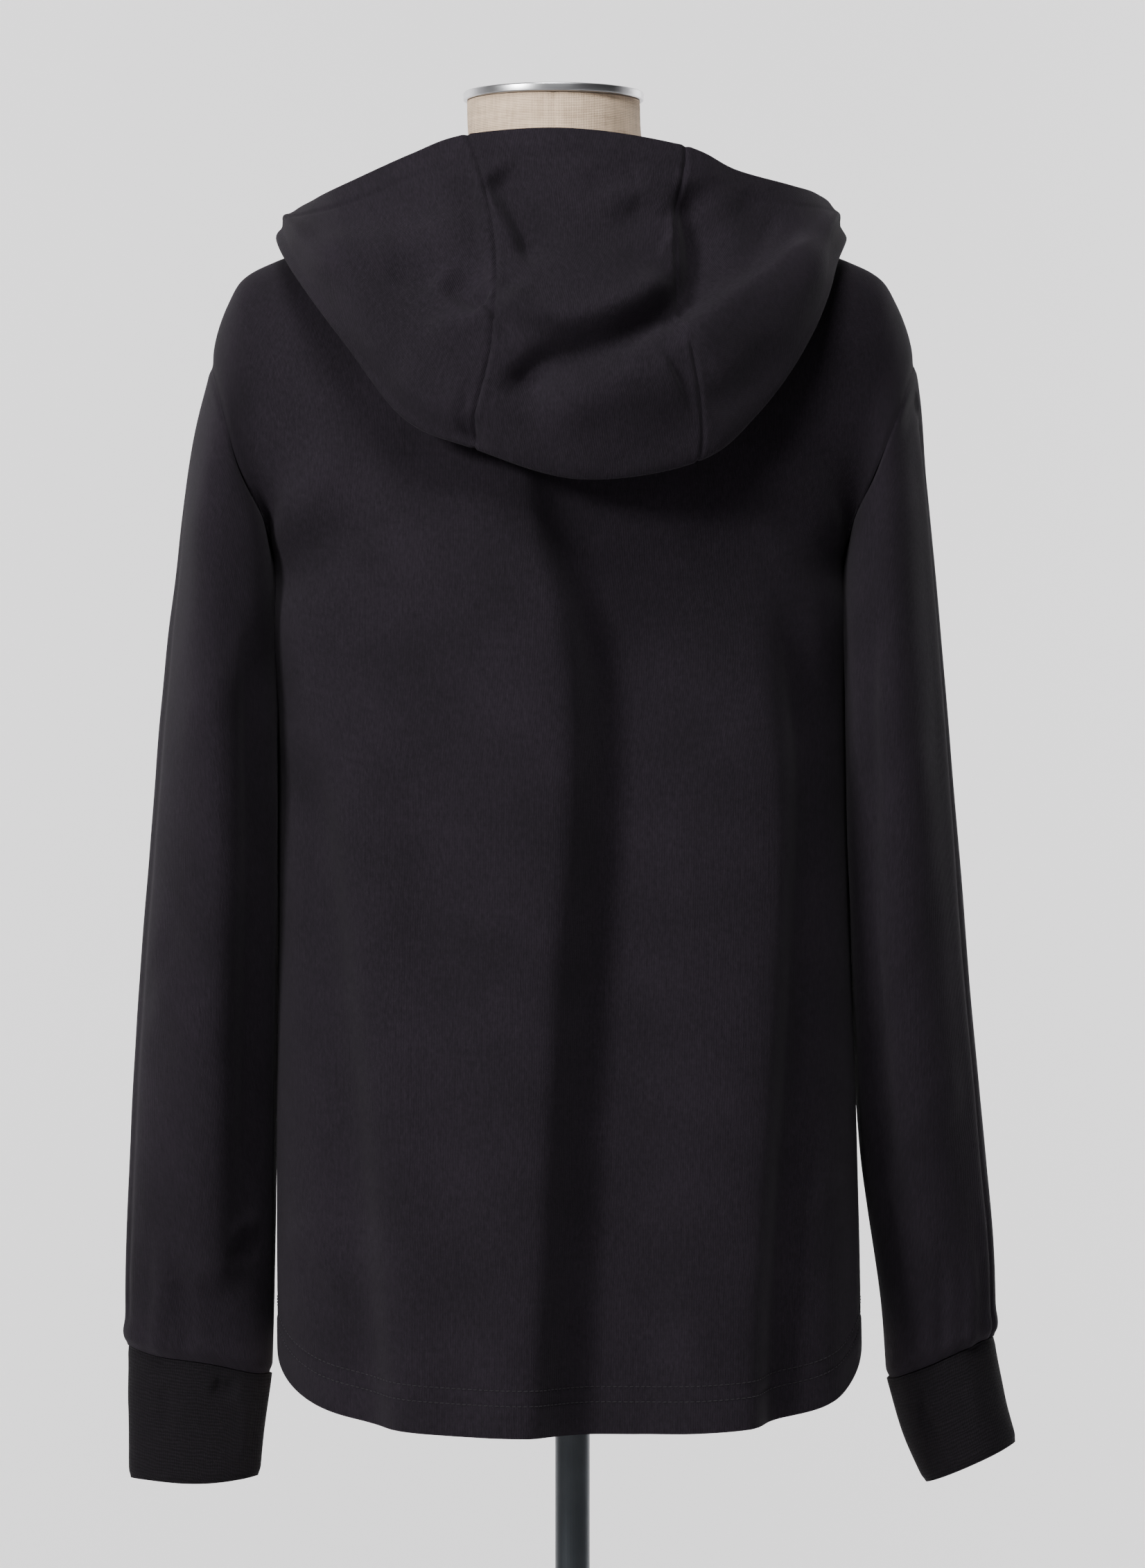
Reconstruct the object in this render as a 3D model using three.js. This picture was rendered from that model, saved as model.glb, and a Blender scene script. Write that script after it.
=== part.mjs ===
// A hooded cardigan worn on a limbless dress form that stands on a pole and a round base plate.
// Millimetres, +Z up. The wearer's back faces -Y, +X is the wearer's right.
// The origin is on the floor under the middle of the base plate.
import * as THREE from 'three';

// ---- Driving dimensions ---------------------------------------------------------------------------

const CLOTH_WALL = 1.6;         // thickness of the sweatshirt knit
const RIB_WALL = 2.0;           // thickness of the ribbed cuffs
const SEAM_GAP = 0.3;           // space between two sewn pieces
const LEAN_FOOT = { x: -1, z: 720 };    // the form's middle line leans a little to the wearer's left
const LEAN_NECK = { x: -11, z: 1495 };
const SHOULDER_SHIFT = { x: 3.5, from: 1270, full: 1340, fade: 1440, end: 1480 }; // set over to the right

const UNDERARM_Z = 1228;        // lowest point of the armhole
const ARM_TOP_Z = 1338;         // highest point of the dropped armhole
const ARM_DEPTH = 62;           // half depth of the armhole, front to back
const HEM_SHARE = 12 / 22;      // part of a panel's rows that lie below the underarm
const SECTION_POWER = 0.84;     // below 1 makes the body's sections squarer than an ellipse
const EDGE_POWER = 2;           // how near the armhole its own depth shapes a section
const SHOULDER_ROUNDNESS = 0.6; // how sharply the panels turn over the shoulders

const SLEEVE_CLEARANCE = 1.5;   // space between a sleeve and the side of the body it hangs against
const SLEEVE_SOFTNESS = 1.2;    // how softly the sleeve turns where it starts to lie on the body
const NECK_SHARE = 0.3;         // part of a panel's half width that ends at the neck
const NECK_REACH = 62;          // half width of the neckline
const NECK_SIDE_Z = 1432;       // height of the neckline at the shoulders
const SIDE_Z = 779;             // height of the hem at the side seams
const FRONT_PARTING = { top: 3, hem: 14 };  // space between the two fronts

const BACK = { way: -1, neckDepth: 58, neckDrop: 14, hemDrop: 46, hemPower: 2.6 };
const FRONT = { way: 1, neckDepth: 64, neckDrop: 52, hemDrop: 14, hemPower: 2 };

const CAP = { radius: 52, height: 5, z: 1491 };
const NECK_RADIUS = 50;
const SHOULDER_REST = 1;      // space between the form's shoulders and the cloth on them
const POLE = { radius: 10, foot: 4.3, top: 792.7, sides: 40 };
const SOCKET = { radius: 10.3, top: 793, mouth: 736 };
const BASE = { radius: 165, thickness: 8, bossRadius: 19, bossHeight: 46, boreFoot: 4, sides: 64 };

// ---- Tables: one row for each section or fold -----------------------------------------------------

// Horizontal sections of the worn body: half width, and depth behind and before the middle.
const BODY_SECTIONS = [
  { z: 700, half: 168, back: 112, front: 110 },
  { z: 800, half: 168, back: 111, front: 111 },
  { z: 900, half: 167, back: 110, front: 112 },
  { z: 1000, half: 165, back: 109, front: 114 },
  { z: 1100, half: 164, back: 108, front: 117 },
  { z: 1180, half: 163, back: 107, front: 119 },
  { z: 1228, half: 163, back: 106, front: 118 },
  { z: 1283, half: 183, back: 105, front: 112 },
  { z: 1338, half: 203, back: 100, front: 102 },
];

// The shoulder line from the neck to the top of the armhole.
const SHOULDER_LINE = [
  { across: 0.30, reach: 62, z: 1432 },
  { across: 0.45, reach: 100, z: 1420 },
  { across: 0.60, reach: 138, z: 1408 },
  { across: 0.72, reach: 166, z: 1398 },
  { across: 0.82, reach: 184, z: 1388 },
  { across: 0.90, reach: 193, z: 1373 },
  { across: 0.95, reach: 199, z: 1357 },
  { across: 1.00, reach: 203, z: 1338 },
];

// Folds of the back: a soft ridge (height above 0) or trough, from its top to its foot.
const BACK_FOLDS = [
  { name: 'main ridge', topX: -22, topZ: 1290, footX: -26, footZ: 690, bow: 25, width: 22, height: 7 },
  { name: 'main trough', topX: 8, topZ: 1270, footX: 4, footZ: 690, bow: 23, width: 20, height: -8 },
  { name: 'left ridge', topX: -156, topZ: 1260, footX: -98, footZ: 690, bow: 8, width: 22, height: 5 },
  { name: 'left trough', topX: -158, topZ: 1120, footX: -122, footZ: 690, bow: 0, width: 16, height: -4 },
  { name: 'right ridge', topX: 96, topZ: 1260, footX: 112, footZ: 690, bow: 8, width: 26, height: 7 },
  { name: 'right trough', topX: 128, topZ: 1230, footX: 140, footZ: 690, bow: 4, width: 15, height: -6 },
];

// Folds of the fronts, mirrored from side to side with a small shift.
const FRONT_FOLDS = [
  { name: 'left hanging ridge', topX: -70, topZ: 1220, footX: -84, footZ: 690, bow: -6, width: 24, height: 6 },
  { name: 'left trough', topX: -112, topZ: 1200, footX: -124, footZ: 690, bow: 0, width: 18, height: -5 },
  { name: 'right hanging ridge', topX: 62, topZ: 1215, footX: 78, footZ: 690, bow: 5, width: 26, height: 6 },
  { name: 'right trough', topX: 108, topZ: 1190, footX: 116, footZ: 690, bow: 0, width: 18, height: -5 },
];

// Rings of each sleeve: the outer and the inner point of the ring and its half depth.
const LEFT_SLEEVE = [
  { outerX: 203, outerZ: 1338, innerX: 163, innerZ: 1228, midY: 0, halfY: 62 },
  { outerX: 209, outerZ: 1308, innerX: 159, innerZ: 1206, midY: 0, halfY: 67 },
  { outerX: 214, outerZ: 1272, innerX: 158, innerZ: 1178, midY: 0, halfY: 71 },
  { outerX: 220, outerZ: 1226, innerX: 158, innerZ: 1140, midY: 0, halfY: 72 },
  { outerX: 227, outerZ: 1174, innerX: 157, innerZ: 1100, midY: 0, halfY: 69 },
  { outerX: 233, outerZ: 1118, innerX: 157, innerZ: 1058, midY: 0, halfY: 65 },
  { outerX: 238, outerZ: 1062, innerX: 158, innerZ: 1016, midY: 0, halfY: 60 },
  { outerX: 244, outerZ: 1002, innerX: 160, innerZ: 968, midY: 2, halfY: 55 },
  { outerX: 249, outerZ: 940, innerX: 163, innerZ: 916, midY: 4, halfY: 49 },
  { outerX: 253, outerZ: 878, innerX: 166, innerZ: 862, midY: 6, halfY: 42 },
  { outerX: 256, outerZ: 824, innerX: 169, innerZ: 812, midY: 8, halfY: 34 },
  { outerX: 257, outerZ: 772, innerX: 172, innerZ: 757, midY: 9, halfY: 25 },
];
const RIGHT_SLEEVE = [
  { outerX: 203, outerZ: 1338, innerX: 163, innerZ: 1228, midY: 0, halfY: 62 },
  { outerX: 208, outerZ: 1308, innerX: 159, innerZ: 1206, midY: 0, halfY: 66 },
  { outerX: 212, outerZ: 1272, innerX: 158, innerZ: 1178, midY: 0, halfY: 70 },
  { outerX: 216, outerZ: 1226, innerX: 158, innerZ: 1140, midY: 0, halfY: 70 },
  { outerX: 220, outerZ: 1174, innerX: 157, innerZ: 1100, midY: 0, halfY: 68 },
  { outerX: 224, outerZ: 1118, innerX: 157, innerZ: 1058, midY: 0, halfY: 64 },
  { outerX: 228, outerZ: 1062, innerX: 158, innerZ: 1016, midY: 0, halfY: 60 },
  { outerX: 232, outerZ: 1002, innerX: 160, innerZ: 968, midY: 2, halfY: 56 },
  { outerX: 237, outerZ: 940, innerX: 165, innerZ: 910, midY: 4, halfY: 50 },
  { outerX: 242, outerZ: 880, innerX: 173, innerZ: 852, midY: 6, halfY: 43 },
  { outerX: 246, outerZ: 828, innerX: 180, innerZ: 800, midY: 8, halfY: 34 },
  { outerX: 247, outerZ: 779, innerX: 183, innerZ: 754, midY: 9, halfY: 25 },
];
const LEFT_CUFF = [
  { outerX: 257, outerZ: 772, innerX: 172, innerZ: 757, midY: 9, halfY: 25 },
  { outerX: 256, outerZ: 735, innerX: 177, innerZ: 725, midY: 9, halfY: 19 },
  { outerX: 256, outerZ: 697, innerX: 180, innerZ: 698, midY: 9, halfY: 17 },
];
const RIGHT_CUFF = [
  { outerX: 247, outerZ: 779, innerX: 183, innerZ: 754, midY: 9, halfY: 25 },
  { outerX: 251, outerZ: 746, innerX: 192, innerZ: 722, midY: 9, halfY: 22 },
  { outerX: 258, outerZ: 718, innerX: 204, innerZ: 694, midY: 9, halfY: 21 },
];

// The hood thrown back, from the left front edge round to the right: where its fold and its rim lie,
// how round the fold is, how far the outer layer bellies out and how far its middle is set over.
const HOOD_STATIONS = [
  { around: -1.00, foldX: -6, foldY: 82, foldZ: 1376, rimX: -5, rimY: 79, rimZ: 1394, roll: 3, belly: 1, waist: 0 },
  { around: -0.82, foldX: -78, foldY: 92, foldZ: 1376, rimX: -70, rimY: 82, rimZ: 1404, roll: 6, belly: 1, waist: 0 },
  { around: -0.64, foldX: -132, foldY: 60, foldZ: 1397, rimX: -120, rimY: 52, rimZ: 1418, roll: 7, belly: 2, waist: 0 },
  { around: -0.48, foldX: -164, foldY: 2, foldZ: 1413, rimX: -153, rimY: 6, rimZ: 1427, roll: 6, belly: 3, waist: 0 },
  { around: -0.42, foldX: -155, foldY: -52, foldZ: 1391, rimX: -141, rimY: -22, rimZ: 1432, roll: 7, belly: 7, waist: 1 },
  { around: -0.36, foldX: -129, foldY: -90, foldZ: 1353, rimX: -126, rimY: -44, rimZ: 1437, roll: 8, belly: 12, waist: 3 },
  { around: -0.24, foldX: -89, foldY: -120, foldZ: 1302, rimX: -84, rimY: -66, rimZ: 1453, roll: 9, belly: 17, waist: 7 },
  { around: -0.12, foldX: -47, foldY: -134, foldZ: 1283, rimX: -50, rimY: -78, rimZ: 1463, roll: 10, belly: 24, waist: 13 },
  { around: 0.01, foldX: 12, foldY: -138, foldZ: 1266, rimX: 10, rimY: -82, rimZ: 1466, roll: 11, belly: 24, waist: 2 },
  { around: 0.14, foldX: 78, foldY: -130, foldZ: 1276, rimX: 72, rimY: -74, rimZ: 1457, roll: 10, belly: 22, waist: -14 },
  { around: 0.26, foldX: 111, foldY: -112, foldZ: 1304, rimX: 100, rimY: -60, rimZ: 1445, roll: 9, belly: 18, waist: -8 },
  { around: 0.36, foldX: 141, foldY: -88, foldZ: 1351, rimX: 132, rimY: -42, rimZ: 1438, roll: 8, belly: 13, waist: -3 },
  { around: 0.42, foldX: 156, foldY: -52, foldZ: 1391, rimX: 146, rimY: -20, rimZ: 1436, roll: 7, belly: 8, waist: -1 },
  { around: 0.48, foldX: 164, foldY: 2, foldZ: 1412, rimX: 155, rimY: 6, rimZ: 1431, roll: 6, belly: 3, waist: 0 },
  { around: 0.64, foldX: 134, foldY: 60, foldZ: 1396, rimX: 122, rimY: 52, rimZ: 1416, roll: 7, belly: 2, waist: 0 },
  { around: 0.82, foldX: 78, foldY: 92, foldZ: 1376, rimX: 70, rimY: 82, rimZ: 1403, roll: 6, belly: 1, waist: 0 },
  { around: 1.00, foldX: 6, foldY: 82, foldZ: 1376, rimX: 5, rimY: 79, rimZ: 1394, roll: 3, belly: 1, waist: 0 },
];
const HOOD_SIDE = 0.48;         // the station that lies over the shoulders
const HOOD_SEAMS = { left: -0.12, right: 0.14 };
const HOOD_SEAM_SHARE = 0.0005; // half of a seam's gap, as a share of the way around
const HOOD_LIFT = { seam: 14, under: 21 };  // how far its under layer stands off the back
const HOOD_UPPER = 0.42;        // the outer layer's belly nearer the rim, as a share of the lower one

// Sections of the linen form below its shoulders.
const FORM_SECTIONS = [
  { z: 736, half: 120, back: 66, front: 66 },
  { z: 740, half: 142, back: 84, front: 82 },
  { z: 750, half: 154, back: 92, front: 90 },
  { z: 772, half: 160, back: 96, front: 93 },
  { z: 850, half: 160, back: 97, front: 92 },
  { z: 930, half: 148, back: 90, front: 84 },
  { z: 1015, half: 130, back: 80, front: 78 },
  { z: 1100, half: 140, back: 86, front: 92 },
  { z: 1170, half: 152, back: 92, front: 102 },
  { z: 1228, half: 156, back: 95, front: 102 },
  { z: 1283, half: 166, back: 92, front: 92 },
  { z: 1330, half: 176, back: 82, front: 80 },
  { z: 1362, half: 181, back: 66, front: 64 },
];
const FORM_SHOULDERS = [        // matched to the shoulder line from its outer end to the neck
  { across: 0.82, back: 54, front: 52, pinch: 0.5 },
  { across: 0.72, back: 52, front: 50, pinch: 1.0 },
  { across: 0.60, back: 52, front: 46, pinch: 1.4 },
  { across: 0.45, back: 51, front: 45, pinch: 2.0 },
  { across: 0.37, back: 50, front: 45, pinch: 2.6 },
];
const FORM_INSET = 5;           // the form's shoulders end this much short of the cloth's

// ---- Materials ------------------------------------------------------------------------------------

const colours = {
  cloth: { color: 0x17151a, roughness: 0.92, metalness: 0 },
  rib: { color: 0x141217, roughness: 0.95, metalness: 0 },
  linen: { color: 0xb9a48a, roughness: 0.9, metalness: 0 },
  steel: { color: 0xb8bbbf, roughness: 0.25, metalness: 1 },
  gunmetal: { color: 0x2c3238, roughness: 0.35, metalness: 1 },
};

// ---- Small maths ----------------------------------------------------------------------------------

const lerp = THREE.MathUtils.lerp;
const clamp01 = (t) => Math.min(1, Math.max(0, t));
const smooth = (from, to, t) => THREE.MathUtils.smoothstep(t, from, to);

/** x of the leaning middle line at height z, a little to the right at the shoulders. */
function lean(z) {
  const { x, from, full, fade, end } = SHOULDER_SHIFT;
  const share = (z - LEAN_FOOT.z) / (LEAN_NECK.z - LEAN_FOOT.z);
  return lerp(LEAN_FOOT.x, LEAN_NECK.x, share) + x * smooth(from, full, z) * (1 - smooth(fade, end, z));
}

/** Slope of one column at row i, from the rows beside it. */
function rowSlope(rows, key, column, i) {
  const before = rows[Math.max(0, i - 1)];
  const after = rows[Math.min(rows.length - 1, i + 1)];
  return (after[column] - before[column]) / (after[key] - before[key]);
}

/** Every number of a table at the given key, on a smooth curve through its rows. */
function tableAt(rows, key, value) {
  const last = rows.length - 2;
  let i = 0;
  while (i < last && rows[i + 1][key] < value) i += 1;
  const [a, b] = [rows[i], rows[i + 1]];
  const span = b[key] - a[key];
  const t = clamp01((value - a[key]) / span);
  const result = {};
  for (const column of Object.keys(a)) {
    const startSlope = rowSlope(rows, key, column, i) * span;
    const endSlope = rowSlope(rows, key, column, i + 1) * span;
    const rise = b[column] - a[column];
    result[column] = a[column] + startSlope * t + (3 * rise - 2 * startSlope - endSlope) * t * t
      + (startSlope + endSlope - 2 * rise) * t * t * t;
  }
  return result;
}

/** Height of all folds of a table at the point (x, z) of a panel. */
function reliefAt(folds, x, z) {
  let height = 0;
  for (const fold of folds) {
    const down = (fold.topZ - z) / (fold.topZ - fold.footZ);
    const middle = lerp(fold.topX, fold.footX, down) + fold.bow * Math.sin(Math.PI * clamp01(down));
    const strength = smooth(0, 0.3, down) * (1 - smooth(0.9, 1.05, down));
    height += fold.height * strength * Math.exp(-(((x - middle) / fold.width) ** 2));
  }
  return height;
}

// ---- Walls made from surfaces ---------------------------------------------------------------------

/** Outward direction of a surface at (u, v), by small steps inside its range. */
function outwardAt(surface, u, v, wraps) {
  const step = 1e-3;
  const clampU = wraps ? (t) => t : clamp01;
  const alongU = surface(clampU(u + step), v).sub(surface(clampU(u - step), v));
  const alongV = surface(u, clamp01(v + step)).sub(surface(u, clamp01(v - step)));
  return alongU.cross(alongV).normalize();
}

/**
 * A closed cloth wall on surface(u, v): its outer face is the surface, its inner face lies one wall
 * thickness inside, and rims join the two. A wall that wraps is a tube whose u runs round it.
 */
function clothWall(surface, columns, rows, wall, wraps = false) {
  const across = wraps ? columns : columns + 1;
  const outer = [];
  const inner = [];
  for (let j = 0; j <= rows; j += 1) {
    for (let i = 0; i < across; i += 1) {
      const [u, v] = [i / columns, j / rows];
      const point = surface(u, v);
      outer.push(point);
      inner.push(point.clone().addScaledVector(outwardAt(surface, u, v, wraps), -wall));
    }
  }
  const faces = [];
  const innerStart = outer.length;
  const at = (i, j) => j * across + (i % across);
  const quad = (a, b, c, d) => faces.push(a, b, c, a, c, d);
  for (let j = 0; j < rows; j += 1) {
    for (let i = 0; i < columns; i += 1) {
      const corners = [at(i, j), at(i + 1, j), at(i + 1, j + 1), at(i, j + 1)];
      quad(...corners);
      quad(...corners.map((k) => k + innerStart).reverse());
    }
  }
  const rim = (a, b) => quad(b, a, a + innerStart, b + innerStart);
  for (let i = 0; i < columns; i += 1) {
    rim(at(i, 0), at(i + 1, 0));
    rim(at(i + 1, rows), at(i, rows));
  }
  for (let j = 0; j < rows && !wraps; j += 1) {
    rim(at(columns, j), at(columns, j + 1));
    rim(at(0, j + 1), at(0, j));
  }
  return indexedGeometry([...outer, ...inner], faces);
}

/** A closed solid through rings of points, with a fan over its first and its last ring. */
function ringSolid(rings) {
  const count = rings[0].length;
  const points = rings.flat();
  const faces = [];
  const at = (i, j) => j * count + (i % count);
  for (let j = 0; j < rings.length - 1; j += 1) {
    for (let i = 0; i < count; i += 1) {
      faces.push(at(i, j), at(i + 1, j), at(i + 1, j + 1), at(i, j), at(i + 1, j + 1), at(i, j + 1));
    }
  }
  const ends = [rings[0], rings[rings.length - 1]].map(middleOf);
  const [foot, top] = [points.push(ends[0]) - 1, points.push(ends[1]) - 1];
  for (let i = 0; i < count; i += 1) {
    faces.push(foot, at(i + 1, 0), at(i, 0));
    faces.push(top, at(i, rings.length - 1), at(i + 1, rings.length - 1));
  }
  return indexedGeometry(points, faces);
}

/** The mean of a ring of points. */
function middleOf(ring) {
  const sum = new THREE.Vector3();
  for (const point of ring) sum.add(point);
  return sum.divideScalar(ring.length);
}

function indexedGeometry(points, faces) {
  const geometry = new THREE.BufferGeometry();
  geometry.setFromPoints(points);
  geometry.setIndex(faces);
  geometry.computeVertexNormals();
  return geometry;
}

/** A lathed geometry turned so that its axis is +Z; the profile is a list of [radius, height]. */
function lathed(profile, sides) {
  const geometry = new THREE.LatheGeometry(profile.map(([r, z]) => new THREE.Vector2(r, z)), sides);
  return geometry.rotateX(Math.PI / 2);
}

function namedMesh(name, geometry, finish) {
  const mesh = new THREE.Mesh(geometry, new THREE.MeshStandardMaterial(finish));
  mesh.name = name;
  return mesh;
}

// ---- The body: one back and two fronts ------------------------------------------------------------

/** A point of the neckline: angle 0 is the middle of the back, 180 degrees the middle of the front. */
function necklineAt(angle) {
  const panel = Math.abs(angle) <= Math.PI / 2 ? BACK : FRONT;
  const facing = Math.abs(Math.cos(angle));
  return new THREE.Vector3(
    NECK_REACH * Math.sin(angle),
    panel.way * panel.neckDepth * facing,
    NECK_SIDE_Z - panel.neckDrop * facing ** 1.5,
  );
}

/** The top line of a panel, along the neck and out over the shoulder to the top of the armhole. */
function topLineAt(panel, across) {
  const share = Math.abs(across);
  const side = Math.sign(across) || 1;
  if (share < NECK_SHARE) {
    const turn = (share / NECK_SHARE) * Math.PI / 2;
    return necklineAt(side * (panel === BACK ? turn : Math.PI - turn));
  }
  const row = tableAt(SHOULDER_LINE, 'across', share);
  return new THREE.Vector3(side * row.reach, 0, row.z);
}

/** A point of the body's horizontal section at height z, before it is drawn up to the shoulders. */
function sectionAt(panel, across, z, armholeShare) {
  const row = tableAt(BODY_SECTIONS, 'z', z);
  const depth = panel === BACK ? row.back : row.front;
  const edge = ARM_DEPTH * 2 * Math.sqrt(armholeShare * (1 - armholeShare));
  const turn = Math.abs(across) * Math.PI / 2;
  const reach = row.half * Math.sin(turn) ** SECTION_POWER;
  const out = edge * Math.abs(across) ** EDGE_POWER
    + (depth - edge * Math.abs(across) ** EDGE_POWER) * Math.abs(Math.cos(turn)) ** SECTION_POWER;
  return new THREE.Vector3(Math.sign(across) * reach, panel.way * out, z);
}

/** Height of the hem: level at the sides and dropped in a long curve at the middle. */
function hemZ(panel, across) {
  return SIDE_Z - panel.hemDrop * (1 - Math.abs(across) ** panel.hemPower);
}

/** A point of the body: across runs from -1 to 1 between the seams, up from the hem to the top. */
function bodyPoint(panel, across, up, folds) {
  const armTurn = Math.PI * clamp01((up - HEM_SHARE) / (1 - HEM_SHARE));
  const raised = (1 - Math.cos(armTurn)) / 2;
  const low = lerp(hemZ(panel, across), UNDERARM_Z, clamp01(up / HEM_SHARE));
  const z = low + (ARM_TOP_Z - UNDERARM_Z) * raised;
  const point = sectionAt(panel, across, z, raised);
  const sectionTop = sectionAt(panel, across, ARM_TOP_Z, 1);
  const draw = topLineAt(panel, across).sub(sectionTop);
  const turned = 1 - (1 - raised * raised) ** SHOULDER_ROUNDNESS;
  point.add(new THREE.Vector3(draw.x * raised, draw.y * turned, draw.z * raised));
  const turn = across * Math.PI / 2;
  const inside = 1 - smooth(0.86, 1, Math.abs(across));
  const height = reliefAt(folds, point.x, point.z) * inside * (1 - raised);
  point.x += height * Math.sin(turn) + lean(point.z);
  point.y += panel.way * (height * Math.cos(turn) + SEAM_GAP / 2);
  return point;
}

function makeBack() {
  const surface = (u, v) => bodyPoint(BACK, 2 * u - 1, v, BACK_FOLDS);
  return namedMesh('back', clothWall(surface, 20, 22, CLOTH_WALL), colours.cloth);
}

/** One front: side is -1 for the left and 1 for the right; its free edge stands off the middle. */
function makeFront(name, side) {
  const surface = (u, v) => {
    const across = side < 0 ? -u : 1 - u;
    const point = bodyPoint(FRONT, across || side * 1e-6, v, FRONT_FOLDS);
    const parting = lerp(FRONT_PARTING.hem, FRONT_PARTING.top, v) / 2;
    point.x += side * parting * (1 - Math.abs(across)) ** 3;
    return point;
  };
  return namedMesh(name, clothWall(surface, 10, 22, CLOTH_WALL), colours.cloth);
}

// ---- Sleeves and cuffs ----------------------------------------------------------------------------

/** Reach of the body's side at depth y and height z, before its folds. */
function bodyReachAt(y, z) {
  const row = tableAt(BODY_SECTIONS, 'z', z);
  const depth = y < 0 ? row.back : row.front;
  const power = 2 / SECTION_POWER;
  return row.half * (1 - clamp01(Math.abs(y) / depth) ** power) ** (1 / power);
}

/** The larger of two lengths, with a soft turn from one to the other. */
function softMax(a, b, softness) {
  return b + softness * Math.log1p(Math.exp((a - b) / softness));
}

/** A tube through rings: u runs round it from its outer line towards the back, v down it. */
function ringTube(rings, side, shift) {
  return (u, v) => {
    const row = tableAt(rings.map((ring, i) => ({ ...ring, index: i })), 'index', v * (rings.length - 1));
    const turn = 2 * Math.PI * u;
    const reach = lerp(row.innerX, row.outerX, (1 + Math.cos(turn)) / 2);
    const z = lerp(row.innerZ, row.outerZ, (1 + Math.cos(turn)) / 2);
    const y = row.midY - side * row.halfY * Math.sin(turn);
    const beside = 1 - smooth(UNDERARM_Z - 14, UNDERARM_Z, z);
    const clear = softMax(reach, bodyReachAt(y, z) + SLEEVE_CLEARANCE, SLEEVE_SOFTNESS);
    const x = side * (lerp(reach, clear, beside) + shift.out) + lean(z);
    return new THREE.Vector3(x, y, z - shift.down);
  };
}

function makeSleeve(name, rings, side) {
  const surface = ringTube(rings, side, { out: 2 * SEAM_GAP, down: SEAM_GAP });
  return namedMesh(name, clothWall(surface, 20, 13, CLOTH_WALL, true), colours.cloth);
}

function makeCuff(name, rings, side) {
  const surface = ringTube(rings, side, { out: 2 * SEAM_GAP, down: 3 * SEAM_GAP });
  return namedMesh(name, clothWall(surface, 20, 3, RIB_WALL, true), colours.rib);
}

// ---- The hood -------------------------------------------------------------------------------------

/** The neck seam of the hood, a seam's gap above the body's neckline. */
function hoodNeckAt(around) {
  const sideShare = Math.abs(around) / HOOD_SIDE;
  const frontShare = (Math.abs(around) - HOOD_SIDE) / (1 - HOOD_SIDE);
  const angle = sideShare < 1 ? sideShare : 1 + frontShare * 0.97;
  const point = necklineAt(Math.sign(around) * angle * Math.PI / 2);
  point.z += 7 * SEAM_GAP;
  return point;
}

/** The curve of the hood at one station: neck seam, under layer, rolled fold, outer layer, rim. */
function hoodCurveAt(around) {
  const row = tableAt(HOOD_STATIONS, 'around', around);
  const neck = hoodNeckAt(around);
  const fold = new THREE.Vector3(row.foldX, row.foldY, row.foldZ);
  const rim = new THREE.Vector3(row.rimX, row.rimY, row.rimZ);
  const mouth = neck.clone().add(rim).multiplyScalar(0.5);
  const tip = fold.clone().sub(mouth).normalize();
  const level = new THREE.Vector3(tip.x, tip.y, 0).normalize();
  const outward = level.clone().multiplyScalar(-tip.z);
  outward.z = tip.dot(level);
  const under = fold.clone().addScaledVector(tip, -row.roll).addScaledVector(outward, -row.roll);
  const over = fold.clone().addScaledVector(tip, -row.roll).addScaledVector(outward, row.roll);
  const reach = fold.distanceTo(mouth);
  const lift = clamp01(reach / 90);
  const nearSeam = neck.clone().lerp(under, 0.2).addScaledVector(outward, HOOD_LIFT.seam * lift);
  const underMiddle = neck.clone().lerp(under, 0.5).addScaledVector(outward, HOOD_LIFT.under * lift);
  const belly = over.clone().lerp(rim, 0.25).addScaledVector(outward, row.belly);
  const upper = over.clone().lerp(rim, 0.62).addScaledVector(outward, row.belly * HOOD_UPPER);
  belly.x += row.waist;
  upper.x += row.waist;
  const points = [neck, nearSeam, underMiddle, under, fold, over, belly, upper, rim];
  return new THREE.CatmullRomCurve3(points, false, 'centripetal');
}

function makeHoodPanel(name, from, to, columns) {
  const surface = (u, v) => {
    const point = hoodCurveAt(lerp(from, to, u)).getPoint(v);
    point.x += lean(point.z);
    return point;
  };
  return namedMesh(name, clothWall(surface, columns, 14, CLOTH_WALL), colours.cloth);
}

// ---- The dress form -------------------------------------------------------------------------------

/** One ring of the form: an ellipse round the leaning middle line, its two ends pinched if asked. */
function formRing(section, count) {
  const ring = [];
  for (let i = 0; i < count; i += 1) {
    const turn = (2 * Math.PI * i) / count;
    const depth = Math.sin(turn) < 0 ? section.back : section.front;
    const centre = section.upright ? 0 : lean(section.z);
    const y = depth * Math.sin(turn) * Math.abs(Math.sin(turn)) ** (section.pinch ?? 0);
    ring.push(new THREE.Vector3(centre + section.half * Math.cos(turn), y, section.z));
  }
  return ring;
}

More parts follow.
